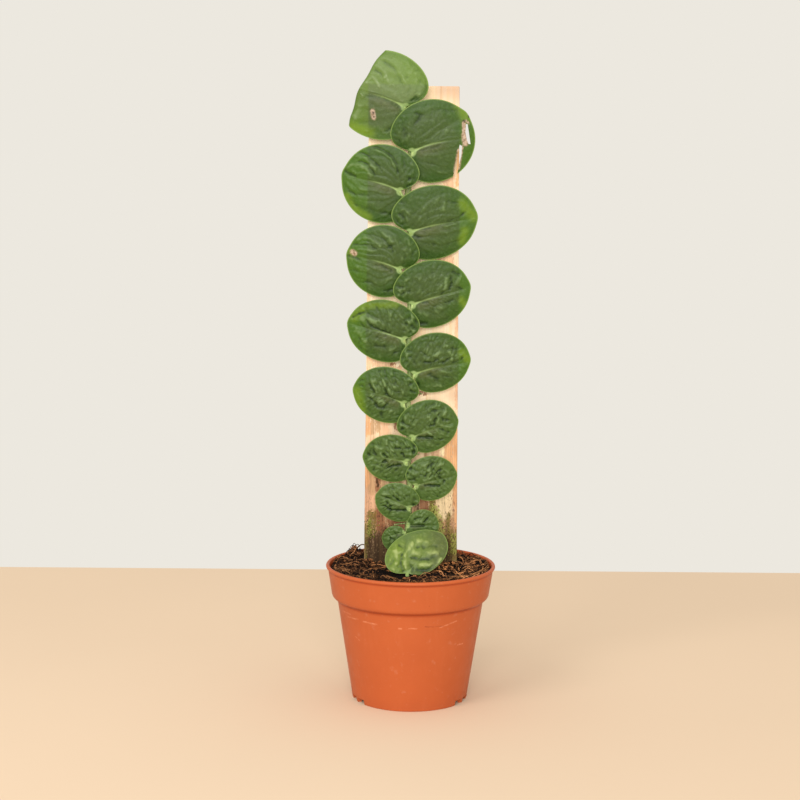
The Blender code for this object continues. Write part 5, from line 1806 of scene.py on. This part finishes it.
def base_point(leaf):
    """The middle of the blade's thickness at the leaf's base."""
    angle = np.array([base_direction(leaf)])
    place = blade_places(0, leaf, angle, np.array([BASE_SHARE]), False, fine=False)[0]
    return Vector(place) + Vector((0, BLADE_THICKNESS / 2, 0))


def petiole_path(leaf):
    """The petiole's line: from the stem's surface, or out of the soil, to the blade's base."""
    blade_end = base_point(leaf)
    if leaf is SOIL_LEAF:
        foot = Vector((blade_end.x, blade_end.y + SOIL_PETIOLE_SLANT, SOIL_LEAF_FOOT_Z))
        return smooth_path([foot, foot.lerp(blade_end, 0.5), blade_end], 8)
    height = leaf.base_z - PETIOLE_DROP
    axis_point = Vector((stem_x(height), STEM_Y, height))
    outward = Vector((blade_end.x - axis_point.x, blade_end.y - axis_point.y, 0)).normalized()
    stem_end = axis_point + outward * (STEM_RADIUS * 0.6)
    straight = stem_end + outward * (STEM_RADIUS * 0.4 + CLEARANCE + PETIOLE_STRAIGHT)
    middle = straight.lerp(blade_end, 0.5) + outward * PETIOLE_BOW
    return smooth_path([stem_end, straight, middle, blade_end], 6)


def leaf_front_paint(name):
    """A leaf's upper skin: painted shade in its creases, painted highlight on its ridges, paler veins and
    edge.
    """
    *own, rib_strength, low_lift = LEAF_TONES[name]
    crease, middle, margin, ridge, backlight_tone, through = (linear(*tone) for tone in own)
    tones = linear_tones(SKIN_TONES)
    paint = Paint(name)
    share = paint.attribute("share")
    cavity = paint.attribute("cavity")
    mottle = paint.noise(620.0, 4.0, roughness=0.6)
    outward = paint.math("ADD", share, paint.swing(paint.noise(95.0, 3.0), 0.9))
    color = paint.layered(
        middle,
        (paint.span(outward, 0.45, 1.0), margin),
        (paint.span(paint.axis(2), 0.26, 0.10, 0.0, low_lift), toned(middle, LOW_LIFT)),
        (paint.attribute("olive", 0.60), tones["olive"]),
        # Painted sheen on the top leaf's upper half
        (paint.attribute("gloss", 0.60), tones["sheen"]),
        # Painted light where the leaf reaches past the board
        (paint.attribute("open", 0.45), backlight_tone),
        # Yellow parts, partly painted light past the board's edge
        (paint.attribute("yellow", 0.60), tones["yellow"]),
        # Painted shade in the creases and painted highlight on the ridges of the relief
        (paint.span(cavity, 0.50, 0.04), crease),
        (paint.span(cavity, 0.54, 1.0, 0.0, 0.9), ridge),
        (paint.span(mottle, 0.50, 0.78, 0.0, 0.25), ridge),
        (paint.attribute("rib", rib_strength), tones["vein"]),
        (paint.span(paint.attribute("pale"), 0.10, 0.90, 0.0, 0.2 + rib_strength), tones["vein"]),
        (paint.span(share, 0.968, 0.990, 0.0, 0.75), tones["rim"]),
        (paint.attribute("dry"), paint.mix(paint.span(mottle, 0.34, 0.72), tones["dry"], tones["dry_dark"])),
        (paint.attribute("dark"), tones["spot"]),
    )
    skin = paint.bump(mottle, 0.25, 0.0005)
    paint.finish(color, paint.span(mottle, 0.3, 0.7, 0.36, 0.50), skin, specular=0.29)
    # The light that comes through is painted darker in the creases
    glow = paint.mix(paint.span(cavity, 0.2, 0.9), toned(through, 0.7), through)
    glow = paint.mix(paint.attribute("dry"), glow, tones["dry_through"])
    return paint.add_translucent(0.28, glow, skin)


def leaf_back_paint():
    """A leaf's underside: paler, matt, with raised veins."""
    paint = Paint("leaf_under")
    tones = linear_tones(SKIN_TONES)
    mottle = paint.noise(480.0, 4.0, roughness=0.6)
    color = paint.layered(
        tones["under"],
        (paint.span(mottle, 0.35, 0.70), toned(tones["under"], 1.3)),
        (paint.span(paint.attribute("cavity"), 0.5, 0.1, 0.0, 0.5), tones["under_crease"]),
        (paint.attribute("rib"), tones["under_vein"]),
    )
    skin = paint.bump(mottle, 0.3, 0.0005)
    paint.finish(color, 0.62, skin, specular=0.25)
    return paint.add_translucent(0.55, tones["under_through"], skin)


def make_leaf(number, leaf, name, slot, materials):
    """One leaf: its thin blade with both skins, and its petiole, as one piece."""
    blade = add_object(name, blade_mesh(number, name, leaf, fold=number == FOLDED_LEAF))
    for material in materials:
        blade.data.materials.append(material)
    thicken = blade.modifiers.new("thickness", "SOLIDIFY")
    thicken.thickness = BLADE_THICKNESS * MM
    thicken.offset = -1
    thicken.material_offset = 1
    bake(blade)
    if number == TORN_LEAF:
        cut(blade, tear_cutters())
        reset_blade_attributes(blade.data, number, leaf)
    add_petiole(blade, leaf)
    place_piece(blade, 50, slot, f"leaf_{number:02d}")


def add_petiole(blade, leaf):
    """Join the petiole's mesh to the blade's, in its own material slot."""
    path = petiole_path(leaf)
    tip = PETIOLE_RADIUS if leaf is SOIL_LEAF else PETIOLE_TIP_RADIUS
    points, faces = [], []
    tube_parts(path, taper(PETIOLE_RADIUS, tip, path), PETIOLE_SIDES, points, faces)
    build = bmesh.new()
    build.from_mesh(blade.data)
    old_faces = set(build.faces)
    build.from_mesh(mesh_from(points, faces, "petiole"))
    for face in build.faces:
        if face not in old_faces:
            face.material_index = 2
    build.to_mesh(blade.data)
    build.free()


def tear_cutters():
    """The second leaf's hole and slit, as prisms through the blade."""
    cutters = []
    for outline in (TEAR_HOLE, TEAR_SLIT):
        count = len(outline)
        points = [(x, y, z) for y in TEAR_DEPTH for x, z in outline]
        faces = [tuple(range(count)), tuple(range(count, 2 * count))] + ring_faces(2, count)
        cutters.append(add_object("tear", mesh_from(points, faces, "tear")))
    return cutters


def make_leaves():
    """Fifteen climbing leaves and the young leaf in the soil."""
    front, top_front, young_front = (leaf_front_paint(name) for name in LEAF_TONES)
    shared = (leaf_back_paint(), green_paint("petiole"))
    for number, leaf in enumerate(CLIMBING_LEAVES, start=1):
        skin = top_front if number == FOLDED_LEAF else front
        make_leaf(number, leaf, f"shingle_leaf_{number:02d}", "leaf_green", (skin, *shared))
    make_leaf(len(LOOKS), SOIL_LEAF, "young_leaf", "young_leaf_green", (young_front, *shared))


def main():
    """Build every piece."""
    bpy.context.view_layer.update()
    make_camera()
    make_surroundings()
    make_pot()
    make_soil()
    make_plank()
    make_stem()
    make_leaves()


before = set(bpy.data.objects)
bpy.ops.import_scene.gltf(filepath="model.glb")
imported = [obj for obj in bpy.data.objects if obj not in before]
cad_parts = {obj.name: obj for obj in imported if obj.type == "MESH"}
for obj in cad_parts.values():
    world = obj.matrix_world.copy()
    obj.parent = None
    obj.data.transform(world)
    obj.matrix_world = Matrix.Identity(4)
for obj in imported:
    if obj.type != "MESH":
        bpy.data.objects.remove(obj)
main()
